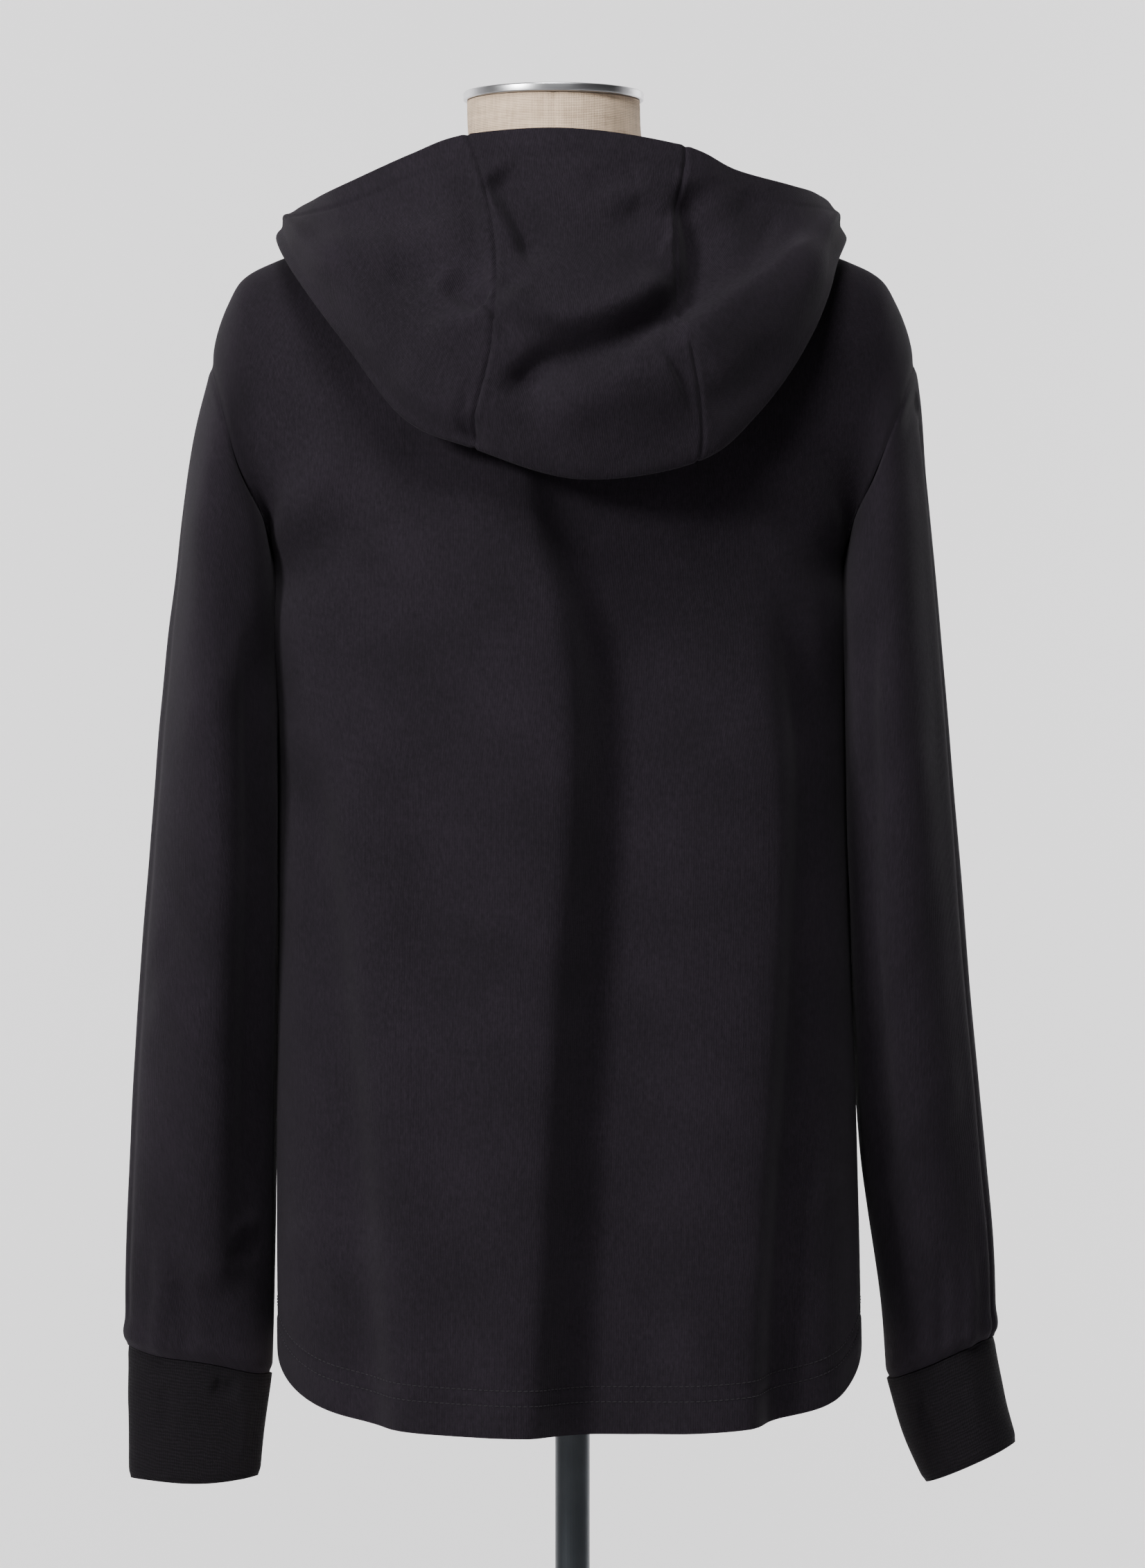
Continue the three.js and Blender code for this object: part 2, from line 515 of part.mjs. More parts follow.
/** The linen torso and neck, with an open socket for the pole in its flat underside. */
function makeTorso() {
  const shoulders = FORM_SHOULDERS.map(({ across, back, front, pinch }) => {
    const line = tableAt(SHOULDER_LINE, 'across', across);
    const z = line.z - CLOTH_WALL - SHOULDER_REST;
    return { z, half: line.reach - FORM_INSET, back, front, pinch };
  });
  const round = (z, radius, upright) => ({ z, half: radius, back: radius, front: radius, upright });
  const sections = [
    round(SOCKET.top, SOCKET.radius, true),
    round(SOCKET.mouth, SOCKET.radius, true),
    ...FORM_SECTIONS,
    ...shoulders,
    round(NECK_SIDE_Z - 5, NECK_RADIUS),
    round(NECK_SIDE_Z + 16, NECK_RADIUS),
    round(CAP.z - SEAM_GAP, NECK_RADIUS),
  ];
  const rings = sections.map((section) => formRing(section, 48));
  return namedMesh('form_torso', ringSolid(rings), colours.linen);
}

function makeNeckCap() {
  const { radius, height } = CAP;
  const profile = [[0, 0], [radius - 1, 0], [radius, 1], [radius, height - 1], [radius - 1, height],
    [radius - 4, height], [radius - 6, height - 1.5], [0, height - 1.5]];
  const cap = namedMesh('neck_cap', lathed(profile, 64), colours.steel);
  cap.position.set(lean(CAP.z), 0, CAP.z);
  return cap;
}

function makePole() {
  const geometry = new THREE.CylinderGeometry(POLE.radius, POLE.radius, POLE.top - POLE.foot, POLE.sides);
  const pole = namedMesh('pole', geometry.rotateX(Math.PI / 2), colours.gunmetal);
  pole.position.z = (POLE.top + POLE.foot) / 2;
  return pole;
}

/** The base plate with a round boss and a blind bore that the pole stands in. */
function makeBase() {
  const { radius, thickness, bossRadius, bossHeight, boreFoot, sides } = BASE;
  const bore = SOCKET.radius;
  const profile = [[0, 0], [radius, 0], [radius, thickness - 2], [radius - 2, thickness],
    [bossRadius, thickness], [bossRadius, bossHeight - 2], [bossRadius - 2, bossHeight],
    [bore, bossHeight], [bore, boreFoot], [0, boreFoot]];
  return namedMesh('base_plate', lathed(profile, sides), colours.gunmetal);
}

// ---- The whole ------------------------------------------------------------------------------------

const cardigan = new THREE.Group();
cardigan.add(makeBack(), makeFront('front_left', -1), makeFront('front_right', 1));
cardigan.add(makeSleeve('sleeve_left', LEFT_SLEEVE, -1), makeSleeve('sleeve_right', RIGHT_SLEEVE, 1));
cardigan.add(makeCuff('cuff_left', LEFT_CUFF, -1), makeCuff('cuff_right', RIGHT_CUFF, 1));
cardigan.add(makeHoodPanel('hood_left', -1, HOOD_SEAMS.left - HOOD_SEAM_SHARE, 15));
cardigan.add(makeHoodPanel(
  'hood_centre', HOOD_SEAMS.left + HOOD_SEAM_SHARE, HOOD_SEAMS.right - HOOD_SEAM_SHARE, 6,
));
cardigan.add(makeHoodPanel('hood_right', HOOD_SEAMS.right + HOOD_SEAM_SHARE, 1, 15));

const dressForm = new THREE.Group();
dressForm.add(makeTorso(), makeNeckCap(), makePole(), makeBase());

const whole = new THREE.Group();
whole.add(cardigan, dressForm);

export default whole;
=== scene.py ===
"""Looks of a hooded cardigan worn on a limbless dress form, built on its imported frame.

Lengths in the tables are in millimetres and become metres when a mesh is made. The wearer's back
faces -Y and +X is the wearer's right. Cloth surfaces are functions of two parameters, worked out
on whole numpy grids: P(u, v) gives the outer face, and the inner face lies one wall inside it.
"""
import logging
import math
from dataclasses import astuple, dataclass, fields
from enum import Enum
from typing import Sequence

import bpy
import numpy as np
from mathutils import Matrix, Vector


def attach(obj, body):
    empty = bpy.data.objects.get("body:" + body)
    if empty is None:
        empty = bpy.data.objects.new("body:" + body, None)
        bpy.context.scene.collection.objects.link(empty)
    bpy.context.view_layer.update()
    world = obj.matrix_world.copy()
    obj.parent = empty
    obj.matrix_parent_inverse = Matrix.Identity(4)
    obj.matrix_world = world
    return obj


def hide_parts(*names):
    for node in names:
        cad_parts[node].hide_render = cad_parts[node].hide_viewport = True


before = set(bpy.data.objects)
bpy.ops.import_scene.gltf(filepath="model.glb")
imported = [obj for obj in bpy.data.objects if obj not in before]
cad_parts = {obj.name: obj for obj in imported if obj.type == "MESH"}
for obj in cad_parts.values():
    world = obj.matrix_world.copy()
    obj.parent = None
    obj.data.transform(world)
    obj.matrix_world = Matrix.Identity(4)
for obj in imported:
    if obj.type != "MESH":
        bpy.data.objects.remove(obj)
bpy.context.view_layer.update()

log = logging.getLogger("cardigan")
Array = np.ndarray

MM = 0.001
CLOTH_WALL = 1.5
RIB_WALL = 2.0
UNDERARM_Z = 1228.0
ARM_TOP_Z = 1338.0
ARM_DEPTH = 62.0
HEM_SHARE = 12 / 22
SECTION_POWER = 0.84
EDGE_POWER = 2
SHOULDER_ROUNDNESS = 0.6
NECK_SHARE = 0.3
NECK_REACH = 62.0
NECK_SIDE_Z = 1432.0
SIDE_Z = 779.0
HOOD_SIDE = 0.48


# ---- Tables ---------------------------------------------------------------------------------------

@dataclass(frozen=True)
class BodySection:
    """A horizontal section of the worn body: half width, and depth behind and before the middle."""

    z: float
    half: float
    back: float
    front: float


@dataclass(frozen=True)
class ShoulderPoint:
    """A point of the shoulder line between the neck and the top of the armhole."""

    across: float
    reach: float
    z: float


@dataclass(frozen=True)
class SleeveRing:
    """A ring of a sleeve or cuff: its outer and inner point and its half depth."""

    index: float
    outer_x: float
    outer_z: float
    inner_x: float
    inner_z: float
    mid_y: float
    half_y: float


@dataclass(frozen=True)
class HoodStation:
    """Where the hood's fold and rim lie at one place round the neck, and how its layers are shaped.

    roll is the fold's roundness, belly how far the outer layer stands out, and waist how far its
    middle is set over to the right.
    """

    around: float
    fold_x: float
    fold_y: float
    fold_z: float
    rim_x: float
    rim_y: float
    rim_z: float
    roll: float
    belly: float
    waist: float


@dataclass(frozen=True)
class Crease:
    """A soft ridge (height above 0) or trough along a path of (x, z) points, seen from its panel.

    The first width is on the left of the path's direction and the second on its right.
    """

    path: tuple[tuple[float, float], ...]
    height: float
    left: float
    right: float
    fade_in: float = 0.2
    fade_out: float = 0.2
    power: float = 2.0


def rows_of(kind: type, *rows: tuple) -> tuple:
    """A table: one dataclass of the given kind for each row of values."""
    return tuple(kind(*row) for row in rows)


BODY_SECTIONS = rows_of(
    BodySection,
    (700, 168, 112, 110),
    (800, 168, 111, 111),
    (900, 167, 110, 112),
    (1000, 165, 109, 114),
    (1100, 164, 108, 117),
    (1180, 163, 107, 119),
    (1228, 163, 106, 118),
    (1283, 183, 105, 112),
    (1338, 203, 100, 102),
)
SHOULDER_LINE = rows_of(
    ShoulderPoint,
    (0.30, 62, 1432),
    (0.45, 100, 1420),
    (0.60, 138, 1408),
    (0.72, 166, 1398),
    (0.82, 184, 1388),
    (0.90, 193, 1373),
    (0.95, 199, 1357),
    (1.00, 203, 1338),
)
LEFT_SLEEVE = rows_of(
    SleeveRing,
    (0, 203, 1338, 163, 1228, 0, 62),
    (1, 209, 1308, 159, 1206, 0, 67),
    (2, 214, 1272, 158, 1178, 0, 71),
    (3, 220, 1226, 158, 1140, 0, 72),
    (4, 227, 1174, 157, 1100, 0, 69),
    (5, 233, 1118, 157, 1058, 0, 65),
    (6, 238, 1062, 158, 1016, 0, 60),
    (7, 244, 1002, 160, 968, 2, 55),
    (8, 249, 940, 163, 916, 4, 49),
    (9, 253, 878, 166, 862, 6, 42),
    (10, 256, 824, 169, 812, 8, 34),
    (11, 257, 772, 172, 757, 9, 25),
)
RIGHT_SLEEVE = rows_of(
    SleeveRing,
    (0, 203, 1338, 163, 1228, 0, 62),
    (1, 208, 1308, 159, 1206, 0, 66),
    (2, 212, 1272, 158, 1178, 0, 70),
    (3, 216, 1226, 158, 1140, 0, 70),
    (4, 220, 1174, 157, 1100, 0, 68),
    (5, 224, 1118, 157, 1058, 0, 64),
    (6, 228, 1062, 158, 1016, 0, 60),
    (7, 232, 1002, 160, 968, 2, 56),
    (8, 237, 940, 165, 910, 4, 50),
    (9, 242, 880, 173, 852, 6, 43),
    (10, 246, 828, 180, 800, 8, 34),
    (11, 247, 779, 183, 754, 9, 25),
)
LEFT_CUFF = rows_of(
    SleeveRing,
    (0, 257, 772, 172, 757, 9, 25),
    (1, 256, 735, 177, 725, 9, 19),
    (2, 256, 697, 180, 698, 9, 17),
)
RIGHT_CUFF = rows_of(
    SleeveRing,
    (0, 247, 779, 183, 754, 9, 25),
    (1, 251, 746, 192, 722, 9, 22),
    (2, 258, 718, 204, 694, 9, 21),
)
HOOD_STATIONS = rows_of(
    HoodStation,
    (-1.00, -6, 82, 1376, -5, 79, 1394, 3, 1, 0),
    (-0.82, -78, 92, 1376, -70, 82, 1404, 6, 1, 0),
    (-0.64, -132, 60, 1397, -120, 52, 1418, 7, 2, 0),
    (-0.48, -164, 2, 1413, -153, 6, 1427, 6, 3, 0),
    (-0.42, -155, -52, 1391, -141, -22, 1432, 7, 7, 1),
    (-0.36, -129, -90, 1353, -126, -44, 1437, 8, 12, 3),
    (-0.24, -89, -120, 1302, -84, -66, 1453, 9, 17, 7),
    (-0.12, -47, -134, 1283, -50, -78, 1463, 10, 24, 13),
    (0.01, 12, -138, 1266, 10, -82, 1466, 11, 24, 2),
    (0.14, 78, -130, 1276, 72, -74, 1457, 10, 22, -14),
    (0.26, 111, -112, 1304, 100, -60, 1445, 9, 18, -8),
    (0.36, 141, -88, 1351, 132, -42, 1438, 8, 13, -3),
    (0.42, 156, -52, 1391, 146, -20, 1436, 7, 8, -1),
    (0.48, 164, 2, 1412, 155, 6, 1431, 6, 3, 0),
    (0.64, 134, 60, 1396, 122, 52, 1416, 7, 2, 0),
    (0.82, 78, 92, 1376, 70, 82, 1403, 6, 1, 0),
    (1.00, 6, 82, 1376, 5, 79, 1394, 3, 1, 0),
)


class Table:
    """Rows of one dataclass, read at any key on a smooth curve through them."""

    def __init__(self, rows: Sequence[object]) -> None:
        """Args: rows: dataclass rows in rising order of their first field."""
        self.names = [field.name for field in fields(rows[0])]
        self.values = np.array([astuple(row) for row in rows], float)
        keys = self.values[:, 0]
        before = np.clip(np.arange(len(rows)) - 1, 0, None)
        after = np.clip(np.arange(len(rows)) + 1, None, len(rows) - 1)
        self.slopes = (self.values[after] - self.values[before]) / (keys[after] - keys[before])[:, None]

    def at(self, key: Array) -> dict[str, Array]:
        """Every column at the given keys.

        Args:
            key: values of the first column.
        Returns:
            One array per column, each of key's shape.
        """
        keys = self.values[:, 0]
        key = np.asarray(key, float)
        row = np.clip(np.searchsorted(keys, key) - 1, 0, len(keys) - 2)
        span = keys[row + 1] - keys[row]
        t, wide = clamp01((key - keys[row]) / span)[..., None], span[..., None]
        value = hermite(self.values[row], self.values[row + 1], self.slopes[row] * wide,
                        self.slopes[row + 1] * wide, t)
        return {name: value[..., i] for i, name in enumerate(self.names)}


# ---- Small maths ----------------------------------------------------------------------------------

def lerp(a: Array, b: Array, t: Array) -> Array:
    """Straight mix a + (b - a) t."""
    return a + (b - a) * t


def clamp01(t: Array) -> Array:
    """t held between 0 and 1."""
    return np.clip(t, 0.0, 1.0)


def smooth(start: float, end: float, t: Array) -> Array:
    """Soft step 3s^2 - 2s^3 that rises from start to end."""
    s = clamp01((t - start) / (end - start))
    return s * s * (3 - 2 * s)


def bell(x: Array, width: float) -> Array:
    """A bump of height 1 at 0: e^(-(x / width)^2)."""
    return np.exp(-((x / width) ** 2))


def hermite(a: Array, b: Array, m: Array, n: Array, t: Array) -> Array:
    """Cubic from a to b with slopes m and n: a + m t + (3r - 2m - n) t^2 + (m + n - 2r) t^3, r = b - a."""
    rise = b - a
    return a + m * t + (3 * rise - 2 * m - n) * t**2 + (m + n - 2 * rise) * t**3


def run_along(points: Array, axis: int) -> Array:
    """Length run from the first point of each line of a grid of points along an axis."""
    return np.insert(np.linalg.norm(np.diff(points, axis=axis), axis=-1).cumsum(axis=axis), 0, 0.0, axis=axis)


def lean(z: Array) -> Array:
    """x of the leaning middle line at height z, set over 3.5 to the right at the shoulders."""
    set_over = 3.5 * smooth(1270, 1340, z) * (1 - smooth(1440, 1480, z))
    return lerp(-1.0, -11.0, (z - 720.0) / 775.0) + set_over


def unit(vectors: Array) -> Array:
    """Vectors along the last axis, scaled to length 1."""
    return vectors / np.maximum(np.linalg.norm(vectors, axis=-1, keepdims=True), 1e-9)


def clustered(count: int, amount: float) -> Array:
    """Shares from 0 to 1, closer together near both ends: t - amount sin(2 pi t) / (2 pi)."""
    t = np.linspace(0.0, 1.0, count + 1)
    return t - amount * np.sin(2 * np.pi * t) / (2 * np.pi)


def grid_normals(points: Array, wraps: bool) -> Array:
    """Unit normals U x V of a grid of points.

    Args:
        points: positions, rows by columns by 3; u runs along a row and v from row to row.
        wraps: True where each row closes on itself.
    Returns:
        Normals of the same shape.
    """
    if wraps:
        along_u = np.roll(points, -1, axis=1) - np.roll(points, 1, axis=1)
    else:
        along_u = np.gradient(points, axis=1)
    return unit(np.cross(along_u, np.gradient(points, axis=0)))


def ripple(x: Array, y: Array, seed: int, waves: int, shortest: float, longest: float) -> Array:
    """Uneven waves in every direction, about -1 to 1: the mean of sines a_i sin(k_i . p + f_i).

    Args:
        x, y: coordinates in millimetres.
        seed: start of the random numbers.
        waves: how many sines.
        shortest, longest: range of their wavelengths in millimetres.
    Returns:
        Heights of the same shape as x.
    """
    random = np.random.default_rng(seed)
    angle = random.uniform(0, np.pi, waves)
    number = 2 * np.pi / random.uniform(shortest, longest, waves)
    phase = random.uniform(0, 2 * np.pi, waves)
    k_x, k_y = number * np.cos(angle), number * np.sin(angle)
    return np.sin(x[..., None] * k_x + y[..., None] * k_y + phase).mean(axis=-1) * 2


def smooth_path(path: Sequence[tuple[float, float]], count: int) -> Array:
    """A Catmull-Rom curve through the points of a path, as count points."""
    points = np.array(path, float)
    slopes = np.gradient(points, axis=0)
    at = np.linspace(0, len(points) - 1, count)
    row = np.minimum(at.astype(int), len(points) - 2)
    return hermite(points[row], points[row + 1], slopes[row], slopes[row + 1], (at - row)[:, None])


def crease_height(creases: Sequence[Crease], x: Array, z: Array) -> Array:
    """Sum of the heights of some creases at the points (x, z) of a panel.

    Each adds height e^(-(d / w)^power), where d = sqrt(distance^2 + 1.5^2) - 1.5 rounds its middle
    and w is its width on that side, and fades over the shares fade_in and fade_out of its length.

    Args:
        creases: the ridges and troughs.
        x, z: panel coordinates in millimetres.
    Returns:
        Heights of the same shape as x.
    """
    total = np.zeros_like(x, dtype=float)
    for crease in creases:
        path = smooth_path(crease.path, 40)
        step = np.diff(path, axis=0)
        square = (step**2).sum(axis=1)
        off_x, off_z = x[..., None] - path[:-1, 0], z[..., None] - path[:-1, 1]
        share = (off_x * step[:, 0] + off_z * step[:, 1]) / square
        held = clamp01(share)
        gap_x, gap_z = off_x - held * step[:, 0], off_z - held * step[:, 1]
        distance = np.hypot(gap_x, gap_z)
        nearest = distance.argmin(axis=-1)[..., None]
        side = np.take_along_axis(step[:, 0] * off_z - step[:, 1] * off_x, nearest, -1)[..., 0]
        apart = np.hypot(np.take_along_axis(distance, nearest, -1)[..., 0], 1.5) - 1.5
        along = (nearest[..., 0] + np.take_along_axis(held, nearest, -1)[..., 0]) / len(step)
        width = lerp(crease.right, crease.left, smooth(-1, 1, side / np.sqrt(square.mean()) / 2))
        fade = smooth(0, max(crease.fade_in, 1e-3), along) if crease.fade_in else 1.0
        fade = fade * (1 - smooth(1 - max(crease.fade_out, 1e-3), 1, along) if crease.fade_out else 1.0)
        total += crease.height * fade * np.exp(-((apart / width) ** crease.power))
    return total


# ---- Meshes ---------------------------------------------------------------------------------------

def quads_between(first: Array, second: Array) -> Array:
    """Quads that join two rows of vertex numbers: first[i], first[i+1], second[i+1], second[i]."""
    return np.stack([first[:-1], first[1:], second[1:], second[:-1]], axis=-1).reshape(-1, 4)


def grid_quads(numbers: Array) -> Array:
    """Quads of a grid of vertex numbers, facing U x V."""
    corners = [numbers[:-1, :-1], numbers[:-1, 1:], numbers[1:, 1:], numbers[1:, :-1]]
    return np.stack(corners, axis=-1).reshape(-1, 4)


def mesh_object(name: str, points: Array, faces: Sequence[Array], uv: Array | None = None,
                sharp: float | None = 40.0) -> bpy.types.Object:
    """Makes a smooth mesh object from points in millimetres.

    Args:
        name: the object's name.
        points: vertices by 3.
        faces: groups of quads or of triangles.
        uv: one pair for each corner of each face, in metres of cloth.
        sharp: angle in degrees over which an edge is sharp, or None for none.
    Returns:
        The object, linked to the scene.
    """
    mesh = bpy.data.meshes.new(name)
    mesh.from_pydata((points * MM).tolist(), [], sum((group.tolist() for group in faces), []))
    mesh.polygons.foreach_set("use_smooth", np.ones(len(mesh.polygons), bool))
    if uv is not None:
        layer = mesh.uv_layers.new(name="cloth")
        layer.data.foreach_set("uv", uv.astype(np.float32).reshape(-1))
    if sharp is not None:
        mesh.set_sharp_from_angle(angle=math.radians(sharp))
    mesh.update()
    made = bpy.data.objects.new(name, mesh)
    bpy.context.scene.collection.objects.link(made)
    return made


def closed_rings(name: str, rings: Array) -> bpy.types.Object:
    """A closed body of rings, each end closed with a fan to its middle.

    Args:
        name: the object's name.
        rings: points in millimetres, rings by points round each by 3.
    Returns:
        The object.
    """
    numbers = np.arange(rings.size // 3).reshape(rings.shape[:2])
    wrapped = np.concatenate([numbers, numbers[:, :1]], axis=1)
    points = np.concatenate([rings.reshape(-1, 3), rings[[0, -1]].mean(axis=1)])
    near = np.stack([np.full_like(numbers[0], len(points) - 2), wrapped[0, 1:], numbers[0]], -1)
    far = np.stack([np.full_like(numbers[0], len(points) - 1), numbers[-1], wrapped[-1, 1:]], -1)
    return mesh_object(name, points, [grid_quads(wrapped), near, far])


@dataclass(frozen=True)
class ClothGrid:
    """A finished cloth surface: its points in millimetres and the shares of its rows and columns."""

    points: Array
    columns: Array
    rows: Array
    wraps: bool = False

    def closed(self, values: Array) -> Array:
        """Values of the grid, with the first column again at the end where the grid wraps."""
        return np.concatenate([values, values[:, :1]], axis=1) if self.wraps else values

    def normals(self) -> Array:
        """The outward unit normals of the grid."""
        return grid_normals(self.points, self.wraps)

    def uv(self) -> Array:
        """Length across each row from its middle and down each column, in metres."""
        points = self.closed(self.points)
        across = run_along(points, 1)
        return np.stack([across - across[:, -1:] / 2, run_along(points, 0)], axis=-1) * MM

    def at(self, column: Array, row: Array) -> tuple[Array, Array]:
        """Points and normals at some column and row shares, by straight mixing.

        Args:
            column, row: shares from 0 to 1, of one shape.
        Returns:
            The points and the normals, each of that shape by 3.
        """
        c = np.interp(column, self.columns, np.arange(len(self.columns)))
        r = np.interp(row, self.rows, np.arange(len(self.rows)))
        i = np.minimum(c.astype(int), len(self.columns) - 2)
        j = np.minimum(r.astype(int), len(self.rows) - 2)
        s, t = (c - i)[..., None], (r - j)[..., None]

        def mixed(values: Array) -> Array:
            """The four values round each place, mixed."""
            low = lerp(values[j, i], values[j, i + 1], s)
            return lerp(low, lerp(values[j + 1, i], values[j + 1, i + 1], s), t)

        return mixed(self.closed(self.points)), unit(mixed(self.closed(self.normals())))

    def shell(self, name: str, wall: float) -> bpy.types.Object:
        """A closed wall on the grid: outer face, inner face one wall inside, and rims.

        Args:
            name: the object's name.
            wall: thickness in millimetres.
        Returns:
            The object, with a UV map in metres of cloth.
        """
        rows, columns = self.points.shape[:2]
        inner = self.points - self.normals() * wall
        grid = self.closed(np.arange(rows * columns).reshape(rows, columns))
        corner = np.arange(grid.size).reshape(grid.shape)
        flats = [grid_quads(corner), grid_quads(corner + grid.size)[:, ::-1]]
        flats.append(quads_between(corner[0] + grid.size, corner[0]))
        flats.append(quads_between(corner[-1], corner[-1] + grid.size))
        if not self.wraps:
            flats.append(quads_between(corner[:, 0], corner[:, 0] + grid.size))
            flats.append(quads_between(corner[:, -1] + grid.size, corner[:, -1]))
        corners = np.concatenate(flats)
        vertex = np.concatenate([grid.reshape(-1), grid.reshape(-1) + rows * columns])
        uv = np.tile(self.uv().reshape(-1, 2), (2, 1))
        points = np.concatenate([self.points.reshape(-1, 3), inner.reshape(-1, 3)])
        return mesh_object(name, points, [vertex[corners]], uv[corners])


def stitch_row(name: str, path: Array, out: Array, pitch: float, length: float,
               radius: float) -> bpy.types.Object:
    """A row of thread stitches as one mesh: small flattened beads along a path.

    A bead's ring at share s has radius r sin(pi s)^0.5, and its middle runs along the path.

    Args:
        name: the object's name.
        path: points on the cloth in millimetres.
        out: the cloth's normal at each point.
        pitch: from one stitch to the next.
        length: of one stitch.
        radius: of the thread.
    Returns:
        The object, with a UV map along the thread.
    """
    run = run_along(path, 0)
    starts = np.arange(pitch / 2, run[-1] - length, pitch)
    sections, sides = 7, 6
    share = np.linspace(0.0, 1.0, sections)
    at = (starts[:, None] + share * length).reshape(-1)
    centre = np.stack([np.interp(at, run, path[:, i]) for i in range(3)], axis=-1)
    normal = unit(np.stack([np.interp(at, run, out[:, i]) for i in range(3)], axis=-1))
    centre = centre.reshape(len(starts), sections, 3)
    normal = normal.reshape(len(starts), sections, 3)
    ahead = unit(np.gradient(centre, axis=1))
    across = unit(np.cross(ahead, normal))
    swell = radius * np.sqrt(np.sin(np.pi * np.clip(share, 0.02, 0.98)))[None, :, None, None]
    turn = 2 * np.pi * np.arange(sides) / sides
    ring = (np.cos(turn)[:, None] * across[:, :, None, :]
            + np.sin(turn)[:, None] * normal[:, :, None, :]) * swell
    lifted = centre + normal * radius * 0.35
    points = (lifted[:, :, None, :] + ring).reshape(-1, 3)
    numbers = np.arange(len(points)).reshape(len(starts), sections, sides)
    wrapped = np.concatenate([numbers, numbers[:, :, :1]], axis=2)
    corners = [wrapped[:, :-1, :-1], wrapped[:, :-1, 1:], wrapped[:, 1:, 1:], wrapped[:, 1:, :-1]]
    lids = [numbers[:, end][:, order] for end, order in
            ((0, (0, 3, 2, 1)), (0, (0, 5, 4, 3)), (-1, (0, 1, 2, 3)), (-1, (0, 3, 4, 5)))]
    faces = np.concatenate([np.stack(corners, axis=-1).reshape(-1, 4), *lids])
    uv = np.stack([np.repeat(at, sides), np.zeros(len(points))], axis=-1) * MM
    return mesh_object(name, points, [faces], uv[faces], sharp=None)


# ---- The body -------------------------------------------------------------------------------------

class Side(Enum):
    """The two sides of the wearer, as the sign of x."""

    LEFT = -1
    RIGHT = 1


@dataclass(frozen=True)
class PanelCut:
    """How a body panel differs from the other: which way it faces, its neck and its hem."""

    way: int
    neck_depth: float
    neck_drop: float
    hem_drop: float
    hem_power: float


BACK_CUT = PanelCut(-1, 58, 14, 46, 2.6)
FRONT_CUT = PanelCut(1, 64, 52, 14, 2)

BACK_CREASES = rows_of(
    Crease,
    (((-26, 690), (-22, 748), (-18, 810), (-12, 910), (-6, 998), (1, 1067), (3, 1136),
     (2, 1161), (-4, 1199), (-13, 1230), (-19, 1268), (-24, 1310)), 15, 60, 11, 0, 0.12, 1.6),
    (((14, 690), (17, 748), (20, 810), (25, 910), (30, 998), (35, 1067), (36, 1136), (30, 1199),
     (16, 1262)), -15, 21, 56, 0, 0.2),
    (((94, 690), (97, 780), (102, 860), (108, 930), (113, 1010), (115, 1080), (111, 1140), (99, 1215)),
     10, 50, 14, 0, 0.25, 1.7),
    (((117, 690), (120, 800), (127, 900), (135, 1000), (141, 1090), (136, 1165), (120, 1245)),
     -8, 10, 12, 0, 0.25),
    (((144, 690), (147, 820), (152, 960)), 3, 11, 10, 0, 0.5),
    (((-92, 690), (-96, 785), (-101, 873), (-109, 973), (-120, 1073), (-137, 1161), (-152, 1236)),
     6, 16, 46, 0, 0.2, 1.7),
    (((-109, 690), (-114, 785), (-119, 873), (-128, 973), (-139, 1073), (-150, 1130)),
     -7, 16, 13, 0, 0.2),
    (((-62, 690), (-66, 840), (-74, 1010), (-84, 1160)), -2.2, 16, 18, 0, 0.35),
    (((56, 700), (62, 860), (60, 1020), (52, 1150)), 2.2, 20, 20, 0.1, 0.4),
    (((46, 700), (50, 790), (52, 880)), -2.2, 10, 12, 0, 0.5),
    (((-158, 850), (-142, 836), (-124, 814)), 1.8, 5, 6, 0.3, 0.5),
    (((-157, 830), (-144, 815), (-132, 792)), -1.8, 5, 5, 0.3, 0.5),
    (((154, 880), (138, 856), (124, 822)), 1.6, 6, 7, 0.3, 0.5),
    (((-160, 1222), (-138, 1262), (-110, 1300)), 2.6, 11, 10, 0.25, 0.4),
    (((-156, 1110), (-154, 1180), (-149, 1228), (-146, 1262), (-141, 1296)), 6, 13, 22, 0.4, 0.35),
    (((156, 1110), (154, 1180), (149, 1228), (146, 1262), (141, 1296)), 5, 22, 13, 0.4, 0.35),
    (((-156, 1196), (-126, 1232), (-92, 1262)), -2.2, 11, 10, 0.25, 0.5),
    (((158, 1226), (140, 1266), (120, 1304)), 2.4, 10, 9, 0.25, 0.4),
    (((155, 1200), (134, 1240), (112, 1276)), -2.4, 9, 11, 0.25, 0.5),
)
FRONT_CREASES = rows_of(
    Crease,
    (((-86, 690), (-82, 880), (-74, 1060), (-66, 1215)), 6, 26, 22, 0, 0.3),
    (((-124, 690), (-120, 900), (-114, 1070), (-112, 1190)), -5, 18, 16, 0, 0.3),
    (((-44, 690), (-46, 860), (-40, 1000)), -4, 14, 18, 0, 0.4),
    (((80, 690), (76, 870), (68, 1040), (58, 1205)), 6, 24, 28, 0, 0.3),
    (((118, 690), (116, 880), (110, 1040), (106, 1180)), -5, 16, 18, 0, 0.3),
    (((38, 690), (42, 830), (36, 960)), -3.5, 16, 14, 0, 0.4),
    (((-160, 1220), (-132, 1252), (-96, 1276)), 2.4, 10, 10, 0.25, 0.4),
    (((159, 1218), (134, 1256), (100, 1284)), 2.2, 10, 9, 0.25, 0.4),
)


